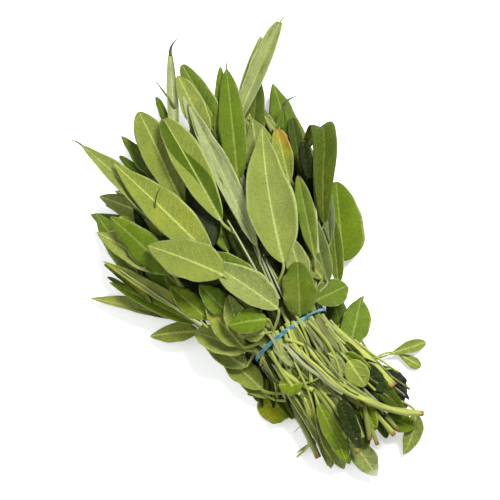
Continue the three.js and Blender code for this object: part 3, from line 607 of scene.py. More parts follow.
# Narrow pieces of leaf among them: root, tip, width, height above the stems, fold, roll, looks,
# and whether the pale side is up.
SLIPS = [
    ((-4, 20), (-18, 19), 5, (2, 2), 20, (-20, -30), dict(grey=1), True),
    ((-14, -9), (-34, -7), 6, (1, 2), 30, (10, 30), dict(grey=0.3), False),
    ((-26, 6), (-41, 1), 5, (1, 2), 20, (0, 10), dict(grey=1), True),
    ((-28, 10), (-47, 9), 6, (0, 1), 40, (0, 0), dict(deep=0.9), False),
    ((-12, -1), (-30, 1), 6, (0, 1), 30, (20, 0), dict(warm=0.4), False),
    ((-16, 12), (-38, 14), 6, (0, 1), 30, (-10, 10), dict(deep=0.3), False),
    ((-46, 12), (-64, 15), 9, (2, 2), 20, (-10, -20), dict(warm=0.4), False),
    ((-45, -8), (-60, -5), 9, (0, 1), 30, (20, 10), dict(warm=0.6), False),
    ((-4, -13), (-24, -9), 5, (0, 1), 30, (0, 20), dict(deep=0.8), False),
    ((-38, -18), (-62, -21), 9, (1, 0), 20, (10, 0), dict(deep=0.8), False),
    # wilted ones at the old stem's end, and ones far in among the stalks, darkened as painted shade
    ((-36, -29), (-52, -29), 6, (1, 1), 40, (-50, 20), dict(wilt=1), False),
    ((-44, -24), (-58, -27), 6, (2, 2), 50, (30, -30), dict(wilt=1), False),
    ((-30, -20), (-46, -27), 7, (1, 2), 40, (20, 40), dict(wilt=0.8), False),
    ((-44, 2), (-60, -2), 9, (0, -2), 30, (10, -10), dict(deep=1), False),
    ((-47, -2), (-64, 2), 9, (-1, -4), 30, (-20, 10), dict(deep=0.7), False),
    ((-50, -12), (-66, -8), 8, (-1, -4), 30, (20, 10), dict(deep=0.9), False),
    ((-18, -17), (-38, -19), 7, (-1, 0), 30, (20, 10), dict(deep=0.9), False),
    ((-9, 20), (-26, 26), 7, (-1, -1), 30, (-20, -10), dict(deep=0.7), False),
    ((-14, 21), (-32, 22), 8, (-2, -2), 30, (-20, -10), dict(deep=0.5), False),
    ((-22, 19), (-38, 20), 7, (-2, -2), 30, (-20, -10), dict(deep=0.9), False),
    ((-2, 21), (-18, 26), 7, (-2, -2), 30, (-20, -10), dict(deep=0.4), False),
    ((8, 20), (-8, 28), 9, (-3, -2), 30, (-20, -10), dict(deep=0.5), False),
    ((2, 22), (-14, 30), 8, (-3, -2), 30, (-10, -10), dict(deep=0.2), False),
    ((-8, 23), (-24, 30), 9, (-3, -2), 30, (-10, -10), dict(deep=0.8), False),
    ((-2, 17), (-18, 18), 4, (2, 1), 30, (0, 0), dict(deep=1.3), False),
    ((-29, 14), (-48, 17), 5, (2, 1), 40, (10, 10), dict(warm=0.7, grey=0.3, deep=0), True),
    ((-33, 12), (-56, 18), 4, (2, 1), 40, (0, 10), dict(deep=1.2), False),
    ((-44, 17), (-60, 22), 5, (1, 0), 40, (10, -10), dict(grey=0.6, deep=0, warm=0.5), True),
    # pieces between the stalks on the right
    ((-24, -13), (-38, -19), 8, (3, 2), 30, (10, 20), dict(deep=0.25, warm=0.3), False),
    ((-20, -7), (-34, -7), 6, (3, 4), 30, (-10, 10), dict(grey=0.5, deep=0.1), True),
    ((-34, 2), (-46, 0), 6, (1, 2), 40, (20, 0), dict(deep=0.9), False),
    ((-16, 8), (-30, 5), 6, (1, 2), 30, (-10, 0), dict(grey=0.6), True),
    ((-6, 4), (-20, 0), 5, (1, 2), 30, (-10, 20), dict(deep=0.5), False),
    ((-2, 12), (-16, 10), 5, (1, 2), 30, (0, 20), dict(grey=0.8), True),
]
# Narrow leaves behind those of the fan: root, tip, width, fold, roll, looks, pale side up.
FAN_SLIPS = [
    ((112, -50, 19), (138, -83, 15), 6, 30, (10, 20), dict(grey=0.5, deep=0), True),
    ((96, -26, 24), (135, -55, 18), 7, 30, (0, 10), dict(grey=0.2, deep=0.2), False),
    ((102, -19, 27), (131, -29, 23), 5, 30, (0, 10), dict(grey=1, deep=0, frost=0.3), True),
    ((99, -12, 25), (124, -18, 20), 6, 30, (0, 10), dict(grey=0.8, deep=0), True),
    ((122, -14, 19), (141, -19, 17), 5, 30, (0, 10), dict(deep=0.5), False),
    ((99, 11, 20), (126, 14, 15), 6, 30, (0, 10), dict(deep=0.75), False),
    ((53, 45, 15), (85, 52, 9), 7, 50, (10, 20), dict(warm=0.6, deep=0), True),
    ((50, 45, 12), (80, 54, 5), 6, 50, (10, 20), dict(grey=0.5, deep=0.2), False),
    ((55, 8, 25), (77, -4, 28), 9, 20, (0, 0), dict(deep=0.25), False),
    ((56, -52, 29), (73, -61, 32), 7, 20, (0, -10), dict(deep=1.35, shape=(1.1, 0.4)), False),
    # ones far in among the stems at the tie, dark all over as painted shade where the gaps would show
    # the floor
    ((24, 2, 12), (2, 2, 12), 14, 10, (0, 0), dict(deep=1.3), False),
    ((8, 17, 8), (-12, 20, 6), 8, 10, (0, 0), dict(deep=1.3), False),
    ((12, -19, 10), (-6, -18, 10), 8, 10, (0, 0), dict(deep=1.3), False),
]
# Swellings where leaves have grown, and the steps that a stem is drawn in.
JUNCTIONS = Sizes(apart=13, swell=0.22, long=1.6)
STEM_STEP = 1.6
STALK = Sizes(root=0.65, foot=0.85, points=7, bend=0.45, inside=1.06, full_wide=14, thin=0.5)
HAIR = Sizes(radius=0.55, end=0.12, points=9, inside=0.15, gather=0.3)
OLD = Sizes(tie=0.5, cut=0.78, middle=0.12, late=1.4)  # thickness of an old stem, as shares
STRAND = Sizes(points=12, swell=0.12, swells=9, starts=(0, 6))
BESIDE_STEM = Sizes(points=16, wander=0.35, turns=11)
FAN_STRAND_POINTS = 9
# The top of the stems behind the band: how far inside it they lie, and how they fall at the sides.
TOP = Sizes(inside=2, lowest=2, falls=50, furthest=1.3, least=0.8)
LINE = Sizes(inside=1, least=1)
HIGH_COUNTS = 8  # how much nearer the topmost stem counts than the lowest

SHAPE = (0.78, 0.8)  # where a blade is widest, and how sharply it tapers
EDGES = Sizes(curl=(0.04, 0.2), wave=(0.03, 0.11), wilted=(0.5, 0.4))  # curl and wave of its edges
SLIP = Sizes(curl=0.15, wave=0.09, shape=(0.8, 0.55))
FAN_SLIP = Sizes(curl=0.15, wave=0.07, shape=(0.9, 0.5), bow=1)
# Looks are drawn between these, the painted shade of leaves, stems and stalks among them.
NATURAL = dict(grey=(0, 0.3), deep=(0, 0.25), warm=(0, 0.3), frost=(-0.05, 0.05))
STEM_LOOKS = dict(grey=(0, 0.6), deep=(0.2, 0.8), warm=(0, 1))
TAIL_LOOKS = dict(grey=(0, 0.8), deep=(-1.2, 1.6), warm=(0, 0.8))
STRAND_LOOKS = dict(grey=0.1, deep=0.05, warm=0.1)
YOUNG_GREY = (0.2, 0.7)
# How much painted shade inner leaves get: at the left and the far edge of the bunch, and elsewhere.
SHADE = Sizes(left=26, far=98, edge=(0, 0.35), inner=(0.9, 1.35))


def growth_of(leaves, stems):
    """For every sprig, the leaves and the stalks that its piece is made from."""
    draws = Draws(SEED + 1)
    sprigs = [Sizes(blades=[], stalks=[]) for _ in stems]
    for sprig, stem in zip(sprigs, stems):
        sprig.stalks.append(stem_stalk(stem, draws))
    for grown in leaves:
        looks = dict(deep=draws.between(*shaded(grown.blade)))
        looks = grown.looks if grown.fine == FINEST else looks
        add_leaf(sprigs[grown.sprig], grown.foot, grown.blade, grown.fine, looks, draws)
    for sprig, stem in zip(sprigs, stems):
        for foot, blade in young_leaves(stem, draws):
            looks = dict(grey=draws.between(*YOUNG_GREY), deep=draws.between(*shaded(blade)))
            if blade.tip[1] < YOUNG.leftmost:
                add_leaf(sprig, foot, blade, COARSE, looks, draws)
    add_tail(sprigs, stems, draws)
    add_strands(sprigs, stems, draws)
    add_strands_beside(sprigs, stems, draws)
    add_fan_strands(sprigs, stems, draws)
    add_slips(sprigs, stems, draws)
    add_fan_slips(sprigs, stems, draws)
    return sprigs


def shaded(blade):
    """Painted shade for inner leaves: dark in the middle of the bunch, lighter at its edge."""
    x, y, _ = blade.tip
    return SHADE.edge if y > SHADE.left or x > SHADE.far else SHADE.inner


def drawn_looks(spans, draws):
    return {look: max(0, draws.between(*span)) for look, span in spans.items()}


def add_blade(sprig, blade, fine, looks, seed, edges):
    curl, wave = edges
    sprig.blades.append(Sizes(blade=blade, fine=fine, looks=looks, seed=seed, curl=curl, wave=wave))


def add_stalk(sprig, points, radii, looks, seed, cut=False):
    sprig.stalks.append(Sizes(points=points, radii=radii, cut=cut, looks=looks, seed=seed))


def arc_point(a, b, c, t):
    """A point of the arc from a to c that bends towards b."""
    return mix(mix(a, b, t), mix(b, c, t), t)


def add_leaf(sprig, foot, blade, fine, looks, draws):
    """One blade with its stalk, and the dry thread at its tip where it has one."""
    looks = {**drawn_looks(NATURAL, draws), **looks}
    seed = draws.between(0, 1)
    curl, wave = draws.between(*EDGES.curl), draws.between(*EDGES.wave)
    if "wilt" in looks:
        curl, wave = EDGES.wilted
    add_blade(sprig, blade, fine, looks, seed, (looks.get("rolled", curl), wave))
    ahead = unit(blade.bends[0] - blade.root)
    bend = blade.root - ahead * STALK.bend * max(0, float(np.dot(ahead, blade.root - foot)))
    spots = np.linspace(0, STALK.inside, STALK.points)
    points = [arc_point(foot, bend, blade.root, t) for t in spots]
    slight = mix(STALK.thin, 1, min(1, blade.wide / STALK.full_wide))
    radii = [mix(STALK.foot, STALK.root, t) * slight for t in np.linspace(0, 1, STALK.points)]
    add_stalk(sprig, points, radii, looks, seed)
    if "hair" in looks:
        add_dry_thread(sprig, blade, looks, seed)


def add_dry_thread(sprig, blade, looks, seed):
    """The thin dry thread that some leaves end in, curled to one side."""
    long, curl, lift = looks["hair"]
    along = unit(blade.tip - blade.bends[1])
    side = unit(np.cross(UP, along))
    points, radii = [], []
    for t in np.linspace(-HAIR.inside, 1, HAIR.points):
        bent = max(0, t) ** 2
        reach = along * long * (t - HAIR.gather * bent)
        points.append(blade.tip + reach + side * curl * bent + UP * lift * bent)
        radii.append(mix(HAIR.radius * looks.get("hair_wide", 1), HAIR.end, max(0, t)))
    dry = dict(grey=0.6, deep=looks.get("hair_deep", 0.5), warm=0)
    add_stalk(sprig, points, radii, dry, seed)


def swollen_old(stem, x):
    """An old stem is thin in the tie and thickest half way to its cut end."""
    if not stem.hump or x > 0:
        return OLD.tie if stem.hump else 1
    t = x / stem.cut[0]
    return mix(OLD.tie, OLD.cut, t) + OLD.middle * math.sin(math.pi * t**OLD.late)


def stem_stalk(stem, draws):
    """A stem from its cut end to its tip, swollen a little where leaves have grown."""
    steps = int((stem.end - stem.cut[0]) / STEM_STEP)
    first = draws.between(0, JUNCTIONS.apart)
    points, radii = [], []
    for x in np.linspace(stem.cut[0], stem.end, steps):
        near = (x - first + JUNCTIONS.apart / 2) % JUNCTIONS.apart - JUNCTIONS.apart / 2
        swollen = 1 + JUNCTIONS.swell * math.exp(-((near / JUNCTIONS.long) ** 2))
        thin = mix(stem.radius, STEM.tip_radius, max(0, x) / stem.end) * swollen_old(stem, x)
        points.append(stem_point(stem, x))
        radii.append(thin * swollen)
    looks = drawn_looks(STEM_LOOKS, draws)
    looks = getattr(stem, "looks", looks)
    return Sizes(points=points, radii=radii, cut=True, looks=looks, seed=draws.between(0, 1))


def young_leaves(stem, draws):
    """The two small pairs at the end of a stem, each turned a quarter from the last."""
    before_end, end = stem_point(stem, stem.end - YOUNG.step), stem_point(stem, stem.end)
    ahead = unit(end - before_end)
    lowest, highest = YOUNG.levels
    made = []
    for k, (long, spread, climb) in enumerate(YOUNG.pairs):
        for side in (-1, 1):
            foot = stem_point(stem, stem.end - YOUNG.step * (len(YOUNG.pairs) - 1 - k))
            turn = math.radians(side * spread + draws.between(*YOUNG.turn))
            turn += math.atan2(ahead[1], ahead[0])
            level = min(highest, max(lowest, stem.level + side * climb))
            size = long * draws.between(*YOUNG.size)
            spots = []
            for far in np.linspace(YOUNG.stalk, YOUNG.stalk + size, SPOTS):
                x, y = foot[0] + math.cos(turn) * far, foot[1] + math.sin(turn) * far
                spots.append(np.array((x, y, max(YOUNG.lowest, layer(x, y, level)))))
            wide = size / YOUNG.slender
            made.append((foot, leaf(spots[0], spots[3], wide, fold=YOUNG.fold, via=spots[1:3])))
    return made


def tail_line(turn, share, aside, start, stop, count):
    """Points of a line that runs from the band back over the cut ends."""
    inside = BAND.thick + GAP + LINE.inside
    y = share * (BAND.wide / 2 - inside) * math.cos(turn)
    z = BAND.high / 2 - BAND.sunk + share * (BAND.high / 2 - inside) * math.sin(turn)
    height = max(LINE.least, z / ROOF.tie * crown(-TAIL.cut) * TAIL.sink + TAIL.rise)
    cut = (-TAIL.cut, y * TAIL.splay + TAIL.lean + aside, height)
    line = Sizes(y=y, z=z, cut=cut, bend=BEND.aside, hump=0)
    return [stem_point(line, x) for x in np.linspace(start, stop, count)]


def tail_top(x, y):
    """Height of the top of the stems behind the band over a point of the surface."""
    t = max(0, -x / TAIL.cut)
    eased = t**BEND.aside
    widest = (BAND.wide / 2 - TOP.inside) * (1 + (TAIL.splay - 1) * eased)
    aside = (y - TAIL.lean * eased) / widest
    middle_high = BAND.high / 2 - BAND.sunk
    if abs(aside) < 1:
        tied = middle_high + (BAND.high / 2 - TOP.inside) * math.sqrt(1 - aside * aside)
    else:
        tied = max(TOP.lowest, middle_high - (abs(aside) - 1) * TOP.falls)
    cut = tied / ROOF.tie * crown(-TAIL.cut) * TAIL.sink + TAIL.rise
    return mix(tied, cut, min(TOP.furthest, t) ** BEND.down)


def over_tail(start, end, aside, above, count):
    """Points of a line that lies over the stems behind the band, bent to one side."""
    start, end = np.array(start, float), np.array(end, float)
    ahead = (end - start) / math.dist(start, end)
    side = np.array((-ahead[1], ahead[0]))
    points = []
    for t in np.linspace(0, 1, count):
        x, y = mix(start, end, t) + side * aside * math.sin(math.pi * t)
        points.append(np.array((x, y, max(TOP.least, tail_top(x, y) + mix(*above, t)))))
    return points


def nearest(sprigs, stems, x, y):
    """The sprig whose stem lies nearest below a point of the surface."""
    far = []
    for stem in stems:
        spot = stem_point(stem, min(0, max(x, stem.cut[0])))
        far.append(math.dist(spot[:2], (x, y)) - stem.level * HIGH_COUNTS)
    return sprigs[far.index(min(far))]


def add_strands(sprigs, stems, draws):
    """The strands that are placed one by one over the cut ends."""
    for start, end, aside, above, (thick, thin), looks in STRANDS:
        points = over_tail(start, end, aside, above, STRAND.points)
        first = draws.between(*STRAND.starts)
        radii = []
        for t in np.linspace(0, 1, STRAND.points):
            swollen = 1 + STRAND.swell * math.sin(t * STRAND.swells + first)
            radii.append(mix(thick, thin, t) * swollen)
        if "cut" in looks:  # a cut end comes first
            points, radii = points[::-1], radii[::-1]
        sprig = nearest(sprigs, stems, *mix(np.array(start), np.array(end), 0.5))
        looks = {**STRAND_LOOKS, **looks}
        add_stalk(sprig, points, radii, looks, draws.between(0, 1), cut="cut" in looks)


def add_strands_beside(sprigs, stems, draws):
    """Stalks that run along the two old stems."""
    for which, (near, far), aside, above, (thick, thin), looks in BESIDE:
        stem = stems[which]
        points, radii = [], []
        for t in np.linspace(0, 1, BESIDE_STEM.points):
            x = mix(near, far, t)
            along = unit(stem_point(stem, x - 1) - stem_point(stem, x))
            side = unit(np.cross(UP, along))
            wander = BESIDE_STEM.wander * math.sin(t * BESIDE_STEM.turns + near)
            out, up = mix(*aside, t) + wander, mix(*above, t)
            points.append(stem_point(stem, x) - side * out + UP * up)
            radii.append(mix(thick, thin, t))
        add_stalk(sprigs[which], points, radii, looks, draws.between(0, 1))


def add_fan_strands(sprigs, stems, draws):
    """Strands through three points, the thin end first."""
    for spots, (thin, thick), looks in FAN_STRANDS + PROPS:
        a, b, c = (np.array(spot, float) for spot in spots)
        steps = np.linspace(0, 1, FAN_STRAND_POINTS)
        points = [arc_point(a, b, c, t) for t in steps]
        radii = [mix(thin, thick, t) for t in steps]
        add_stalk(nearest(sprigs, stems, 0, b[1]), points, radii, looks, draws.between(0, 1))


def add_slips(sprigs, stems, draws):
    """The narrow pieces of leaf among the cut ends."""
    for root, tip, wide, above, fold, roll, looks, pale in SLIPS:
        spots = over_tail(root, tip, 0, above, SPOTS)
        blade = leaf(spots[0], spots[3], wide, fold=fold, roll=roll, via=spots[1:3], pale=pale)
        looks = {**dict(shape=SLIP.shape), **looks}
        sprig = nearest(sprigs, stems, *root)
        add_blade(sprig, blade, FINE, looks, draws.between(0, 1), (SLIP.curl, SLIP.wave))


def add_fan_slips(sprigs, stems, draws):
    """The narrow leaves behind those of the fan."""
    for root, tip, wide, fold, roll, looks, pale in FAN_SLIPS:
        blade = leaf(root, tip, wide, fold=fold, roll=roll, bow=FAN_SLIP.bow, pale=pale)
        looks = {**dict(shape=FAN_SLIP.shape), **looks}
        sprig = nearest(sprigs, stems, 0, mix(root[1], 0, 0.5))
        edges = FAN_SLIP.curl, FAN_SLIP.wave
        add_blade(sprig, blade, FINE, looks, draws.between(0, 1), edges)


def nearest_in_tie(sprigs, stems, turn):
    """The sprig whose stem lies nearest to a point of the tie's outside."""
    y, z = TIE.across * math.cos(turn), TIE.middle + TIE.up * math.sin(turn)
    far = [math.hypot(stem.y - y, stem.z - z) for stem in stems]
    return sprigs[far.index(min(far))]


def add_tail(sprigs, stems, draws):
    """Loose stalks and narrow leaves that lie over the stems behind the band."""
    for k in range(LOOSE.count + STRAPS.count):
        kind = LOOSE if k < LOOSE.count else STRAPS
        turn = math.radians(draws.between(*AROUND))
        share, aside = draws.between(*kind.share), draws.between(*kind.aside)
        start = draws.between(*kind.start)
        looks = drawn_looks(TAIL_LOOKS, draws)
        seed = draws.between(0, 1)
        sprig = nearest_in_tie(sprigs, stems, turn)
        if kind is LOOSE:
            stop = draws.between(*kind.stop)
            points = tail_line(turn, share, aside, start, stop, kind.points)
            radius = draws.between(*kind.radius)
            radii = [radius * mix(1, kind.tapers, t) for t in np.linspace(0, 1, kind.points)]
            add_stalk(sprig, points, radii, looks, seed)
        else:
            stop = start - draws.between(*kind.long)
            spots = tail_line(turn, share, aside, start, stop, SPOTS)
            wide = draws.between(*kind.wide)
            roll = draws.between(*kind.roll), draws.between(*kind.roll)
            blade = leaf(spots[0], spots[3], wide, fold=kind.fold, roll=roll, via=spots[1:3],
                         pale=seed < kind.pale)
            add_blade(sprig, blade, COARSE, looks, seed, (kind.curl, kind.wave))


# ---- Nodes joined by plain arithmetic ----
class Wire:
    """What comes out of a node. Arithmetic on it adds the nodes that do the sum."""

    def __init__(self, socket):
        self.socket = socket
        self.tree = socket.id_data

    def do(self, operation, *others):
        return arithmetic(self.tree, operation, self, *others)

    def other(self, name):
        return Wire(self.socket.node.outputs[name])

    def __add__(self, other):
        return self.do("ADD", other)

    def __radd__(self, other):
        return self.do("ADD", other)

    def __sub__(self, other):
        return self.do("SUBTRACT", other)

    def __rsub__(self, other):
        return arithmetic(self.tree, "SUBTRACT", other, self)

    def __mul__(self, other):
        return self.do("MULTIPLY", other)

    def __rmul__(self, other):
        return self.do("MULTIPLY", other)

    def __truediv__(self, other):
        return self.do("DIVIDE", other)

    def __rtruediv__(self, other):
        return arithmetic(self.tree, "DIVIDE", other, self)

    def __pow__(self, other):
        return self.do("POWER", other)


def arithmetic(tree, operation, *values):
    vectors = any(isinstance(v, Wire) and v.socket.type == "VECTOR" for v in values)
    kind = "ShaderNodeVectorMath" if vectors else "ShaderNodeMath"
    return put(tree, kind, *values, operation=operation)


def put(tree, kind, *fed, into=(), **settings):
    """Adds a node, feeds its sockets in order and by name, and gives its first output in use."""
    node = tree.nodes.new(kind)
    for name, value in settings.items():
        setattr(node, name, value)
    sockets = [s for s in node.inputs if s.enabled]
    by_name = {socket.name: socket for socket in reversed(sockets)}
    named = [(by_name[label], value) for label, value in dict(into).items()]
    for socket, value in [*zip(sockets, fed), *named]:
        if isinstance(value, Wire):
            tree.links.new(value.socket, socket)
        elif socket.type == "VECTOR" and isinstance(value, (int, float)):
            socket.default_value = (value, value, value)
        elif socket.type == "RGBA" and value is not None:
            socket.default_value = (*value, 1)
        elif value is not None:
            socket.default_value = value
    return Wire(next(s for s in node.outputs if s.enabled))


def parts_of(vector):
    split = put(vector.tree, "ShaderNodeSeparateXYZ", vector)
    return split, split.other("Y"), split.other("Z")


def joined(tree, x, y, z):
    return put(tree, "ShaderNodeCombineXYZ", x, y, z)


def node_tree(name, inputs):
    """A geometry tree with named inputs. Gives the tree and what comes in by each name."""
    tree = bpy.data.node_groups.new(name, "GeometryNodeTree")
    for label, kind, value in inputs:
        socket = tree.interface.new_socket(label, in_out="INPUT", socket_type="NodeSocket" + kind)
        if value is not None:
            socket.default_value = value
    tree.interface.new_socket("Geometry", in_out="OUTPUT", socket_type="NodeSocketGeometry")
    given = tree.nodes.new("NodeGroupInput")
    return tree, {socket.name: Wire(socket) for socket in given.outputs if socket.name}


def give_out(tree, geometry):
    out = tree.nodes.new("NodeGroupOutput")
    tree.links.new(geometry.socket, out.inputs[0])


def attribute(tree, name, kind="FLOAT"):
    return put(tree, "GeometryNodeInputNamedAttribute", name, data_type=kind)


def stored(geometry, name, value, kind="FLOAT"):
    return put(geometry.tree, "GeometryNodeStoreNamedAttribute", geometry, None, name, value,
               data_type=kind, domain="POINT")


# ---- The tree that grows the blades ----
GRIDS = {FINEST: (56, 41), FINE: (34, 25), COARSE: (20, 17)}  # rows and columns of a blade
CROWD = Sizes(ends=0.6, edges=0.6)  # how far rows crowd to the ends and columns to the edges
# Waves along a blade: height, how many, and how they shift from leaf to leaf and side to side.
OUTLINE_WAVES = [(0.05, 7, 40, 2), (0.025, 19, 70, 1)]
EDGE_WAVES = [(1, 17, 60, 1.7), (0.5, 31, 90, 3)]
LEAVES_APART = 100  # how far apart two leaves lie in the patterns, so that none are alike
CREASE = Sizes(soft=0.003, sunk=0.055)  # rounds the fold along the midrib
FLESH = Sizes(thick=0.46, least_share=0.6, blunt_ends=25, merged=2e-6)
MIDRIB = Sizes(high=0.7, wide=0.75, fades=0.75, upper_share=0.2)
VEINS = Sizes(
    spacing=4.4, slant=0.8, arch=0.03, stagger=0.25, quilting=0.13, wander=0.5, width=0.75,
    midrib=(1.2, 0.5), cell=0.95, net=0.16,
)


def waves(table, t, seed, left):
    """Waves along a blade, other ones on every leaf and on each of its sides."""
    total = 0
    for height, rate, by_leaf, by_side in table:
        total = (t * rate + seed * by_leaf + left * by_side).do("SINE") * height + total
    return total


def vein_count(far, across, spacing):
    """How many veins there are up to a point, counted along arched lines that slant forward."""
    slanted = far - across.do("ABSOLUTE") * VEINS.slant
    return (slanted - across * across * VEINS.arch) / spacing


def blade_frame(root, bend_a, bend_b, tip, turn, t):
    """A point of the midrib, and the directions to the side and up from it."""
    s = 1 - t
    spine = root * s**3 + bend_a * (t * s * s * 3) + bend_b * (t * t * s * 3) + tip * t**3
    along = (bend_a - root) * (s * s) + (bend_b - bend_a) * (t * s * 2) + (tip - bend_b) * (t * t)
    along = along.do("NORMALIZE")
    dx, dy, _ = parts_of(tip - root)
    level = joined(t.tree, 0 - dy, dx, 0).do("NORMALIZE")
    plumb = along.do("CROSS_PRODUCT", level).do("NORMALIZE")
    flat = plumb.do("CROSS_PRODUCT", along)
    co, si = turn.do("COSINE"), turn.do("SINE")
    return spine, flat * co + plumb * si, plumb * co - flat * si


def above_ground(place, least):
    x, y, z = parts_of(place)
    return joined(place.tree, x, y, z.do("MAXIMUM", least))


def blade_tree():
    """Closed blades with a raised midrib and quilting between the veins, one on every seed point.

    Each seed holds the four points of its midrib and its form, in millimetres. A blank grid is
    rolled round the blade: over the top from one edge to the other, and back underneath.
    """
    rows, columns = GRIDS[FINEST]
    tree, given = node_tree("sage_blades", [
        ("Geometry", "Geometry", None),
        ("Fineness", "Int", FINEST),
        ("Rows", "Int", rows),
        ("Columns", "Int", columns),
        ("Thickness", "Float", FLESH.thick),
        ("Midrib height", "Float", MIDRIB.high),
        ("Midrib width", "Float", MIDRIB.wide),
        ("Vein spacing", "Float", VEINS.spacing),
        ("Quilting", "Float", VEINS.quilting),
        ("Material", "Material", None),
    ])
    fine = attribute(tree, "fine")
    chosen = put(tree, "FunctionNodeCompare", fine, given["Fineness"], data_type="FLOAT",
                 operation="EQUAL")
    grid = put(tree, "GeometryNodeMeshGrid", 1.0, 1.0, given["Rows"], given["Columns"])
    blank = put(tree, "GeometryNodeInputPosition") + 0.5
    grid = stored(grid, "blank", blank, "FLOAT_VECTOR")
    copies = put(tree, "GeometryNodeInstanceOnPoints", given["Geometry"], chosen, grid)
    mesh = put(tree, "GeometryNodeRealizeInstances", copies)

    row, round_, _ = parts_of(attribute(tree, "blank", "FLOAT_VECTOR"))
    root, bend_a, bend_b, tip = (
        attribute(tree, name, "FLOAT_VECTOR") for name in ("root", "bend_a", "bend_b", "tip"))
    wide, fold, curl = parts_of(attribute(tree, "form", "FLOAT_VECTOR"))
    turn_root, turn_tip, wave = parts_of(attribute(tree, "turns", "FLOAT_VECTOR"))
    _, _, seed = parts_of(attribute(tree, "marks", "FLOAT_VECTOR"))
    low, blunt, _ = parts_of(attribute(tree, "shape", "FLOAT_VECTOR"))
    pale = attribute(tree, "pale")

    # t runs from root to tip, u from edge to edge: over the upper face and back underneath
    t = mix(row, 0.5 - (row * math.pi).do("COSINE") * 0.5, CROWD.ends)
    raw = (round_ * 4 - 2).do("ABSOLUTE") - 1
    u = raw * raw.do("ABSOLUTE") ** CROWD.edges
    out = u.do("ABSOLUTE")
    face = (0.5 - round_).do("SIGN")
    left = u.do("SIGN")
    spine, side, up = blade_frame(root, bend_a, bend_b, tip, mix(turn_root, turn_tip, t), t)

    # the outline
    uneven = waves(OUTLINE_WAVES, t, seed, left) + 1
    half = wide / 2 * ((t**low * math.pi).do("SINE").do("MAXIMUM", 0)) ** blunt * uneven
    across = u * half
    far = t * (tip - root).do("LENGTH")
    ends = (t * (1 - t) * FLESH.blunt_ends).do("MINIMUM", 1)
    inner = 1 - u * u

    # how far the blade is folded up, curled and quilted
    upper = 1 - pale * 2  # +1 where the smooth upper side looks up
    crease = (u * u + CREASE.soft).do("SQRT")
    vein = vein_count(far, across, given["Vein spacing"]) + left * VEINS.stagger + seed
    quilt = (vein * math.pi).do("SINE").do("ABSOLUTE") * inner * ends
    rise = half * fold.do("SINE") * (crease - CREASE.sunk)
    rise = rise - upper * curl * half * out**4
    rise = rise + half * out**3 * wave * waves(EDGE_WAVES, t, seed, left)
    rise = rise + upper * given["Quilting"] * quilt
    core = spine + side * (across * fold.do("COSINE")) + up * rise
    core = above_ground(core, given["Thickness"] * FLESH.least_share)

    # the midrib stands out below, on the woolly side, and is sunk a little above
    normal = (up * fold.do("COSINE") - side * (fold.do("SINE") * u / crease)).do("NORMALIZE")
    woolly = 0.5 - face * upper * 0.5
    ridge = (0 - (across / given["Midrib width"]) ** 2).do("EXPONENT") * given["Midrib height"]
    ridge = ridge * (1 - t * MIDRIB.fades)
    relief = (woolly * ridge - (1 - woolly) * ridge * MIDRIB.upper_share) * ends * inner
    thickness = given["Thickness"] * 0.5 * inner.do("MAXIMUM", 0).do("SQRT") * ends
    place = above_ground(core + normal * (face * (thickness + relief)), 0) * MM
    mesh = put(tree, "GeometryNodeSetPosition", mesh, None, place)
    mesh = stored(mesh, "leaf_mm", joined(tree, across, far, seed * LEAVES_APART), "FLOAT_VECTOR")
    mesh = stored(mesh, "place", joined(tree, u, t, 0), "FLOAT_VECTOR")
    mesh = stored(mesh, "woolly", woolly)
    mesh = put(tree, "GeometryNodeMergeByDistance", mesh, None, FLESH.merged)
    mesh = put(tree, "GeometryNodeFlipFaces", mesh)
    mesh = put(tree, "GeometryNodeSetShadeSmooth", mesh)
    give_out(tree, put(tree, "GeometryNodeSetMaterial", mesh, None, given["Material"]))
    return tree


# ---- The tree that grows a whole sprig ----
STALK_SECTION = Sizes(sides=12, square=0.25, full=0.9)


def sprig_tree(blades):
    """A sprig from seeds: loose points become blades, and runs of edges become stalks."""
    tree, given = node_tree("sage_sprig", [
        ("Geometry", "Geometry", None),
        ("Stalk sides", "Int", STALK_SECTION.sides),
        ("Stalk squareness", "Float", STALK_SECTION.square),
        ("Leaf material", "Material", None),
        ("Stalk material", "Material", None),
    ])
    grown = []
    for fineness, (rows, columns) in GRIDS.items():
        group = put(tree, "GeometryNodeGroup", node_tree=blades, into={
            "Geometry": given["Geometry"], "Fineness": fineness, "Rows": rows, "Columns": columns,
            "Material": given["Leaf material"]})
        grown.append(group)
    ring = put(tree, "GeometryNodeCurvePrimitiveCircle", given["Stalk sides"], into={"Radius": 1.0})
    x, y, _ = parts_of(put(tree, "GeometryNodeInputPosition"))
    square = (x**4 + y**4) ** (0 - given["Stalk squareness"]) * STALK_SECTION.full
    ring = stored(ring, "around", joined(tree, x, y, 0), "FLOAT_VECTOR")
    ring = put(tree, "GeometryNodeSetPosition", ring, None, joined(tree, x * square, y * square, 0))
    lines = put(tree, "GeometryNodeMeshToCurve", given["Geometry"])
    stalks = put(tree, "GeometryNodeCurveToMesh", lines, ring, attribute(tree, "thick"), True)
    place = above_ground(put(tree, "GeometryNodeInputPosition"), 0)
    stalks = put(tree, "GeometryNodeSetPosition", stalks, None, place)
    stalks = put(tree, "GeometryNodeSetShadeSmooth", stalks)
    grown.append(put(tree, "GeometryNodeSetMaterial", stalks, None, given["Stalk material"]))
    together = tree.nodes.new("GeometryNodeJoinGeometry")
    for geometry in reversed(grown):
        tree.links.new(geometry.socket, together.inputs[0])
    give_out(tree, put(tree, "GeometryNodeRealizeInstances", Wire(together.outputs[0])))
    return tree


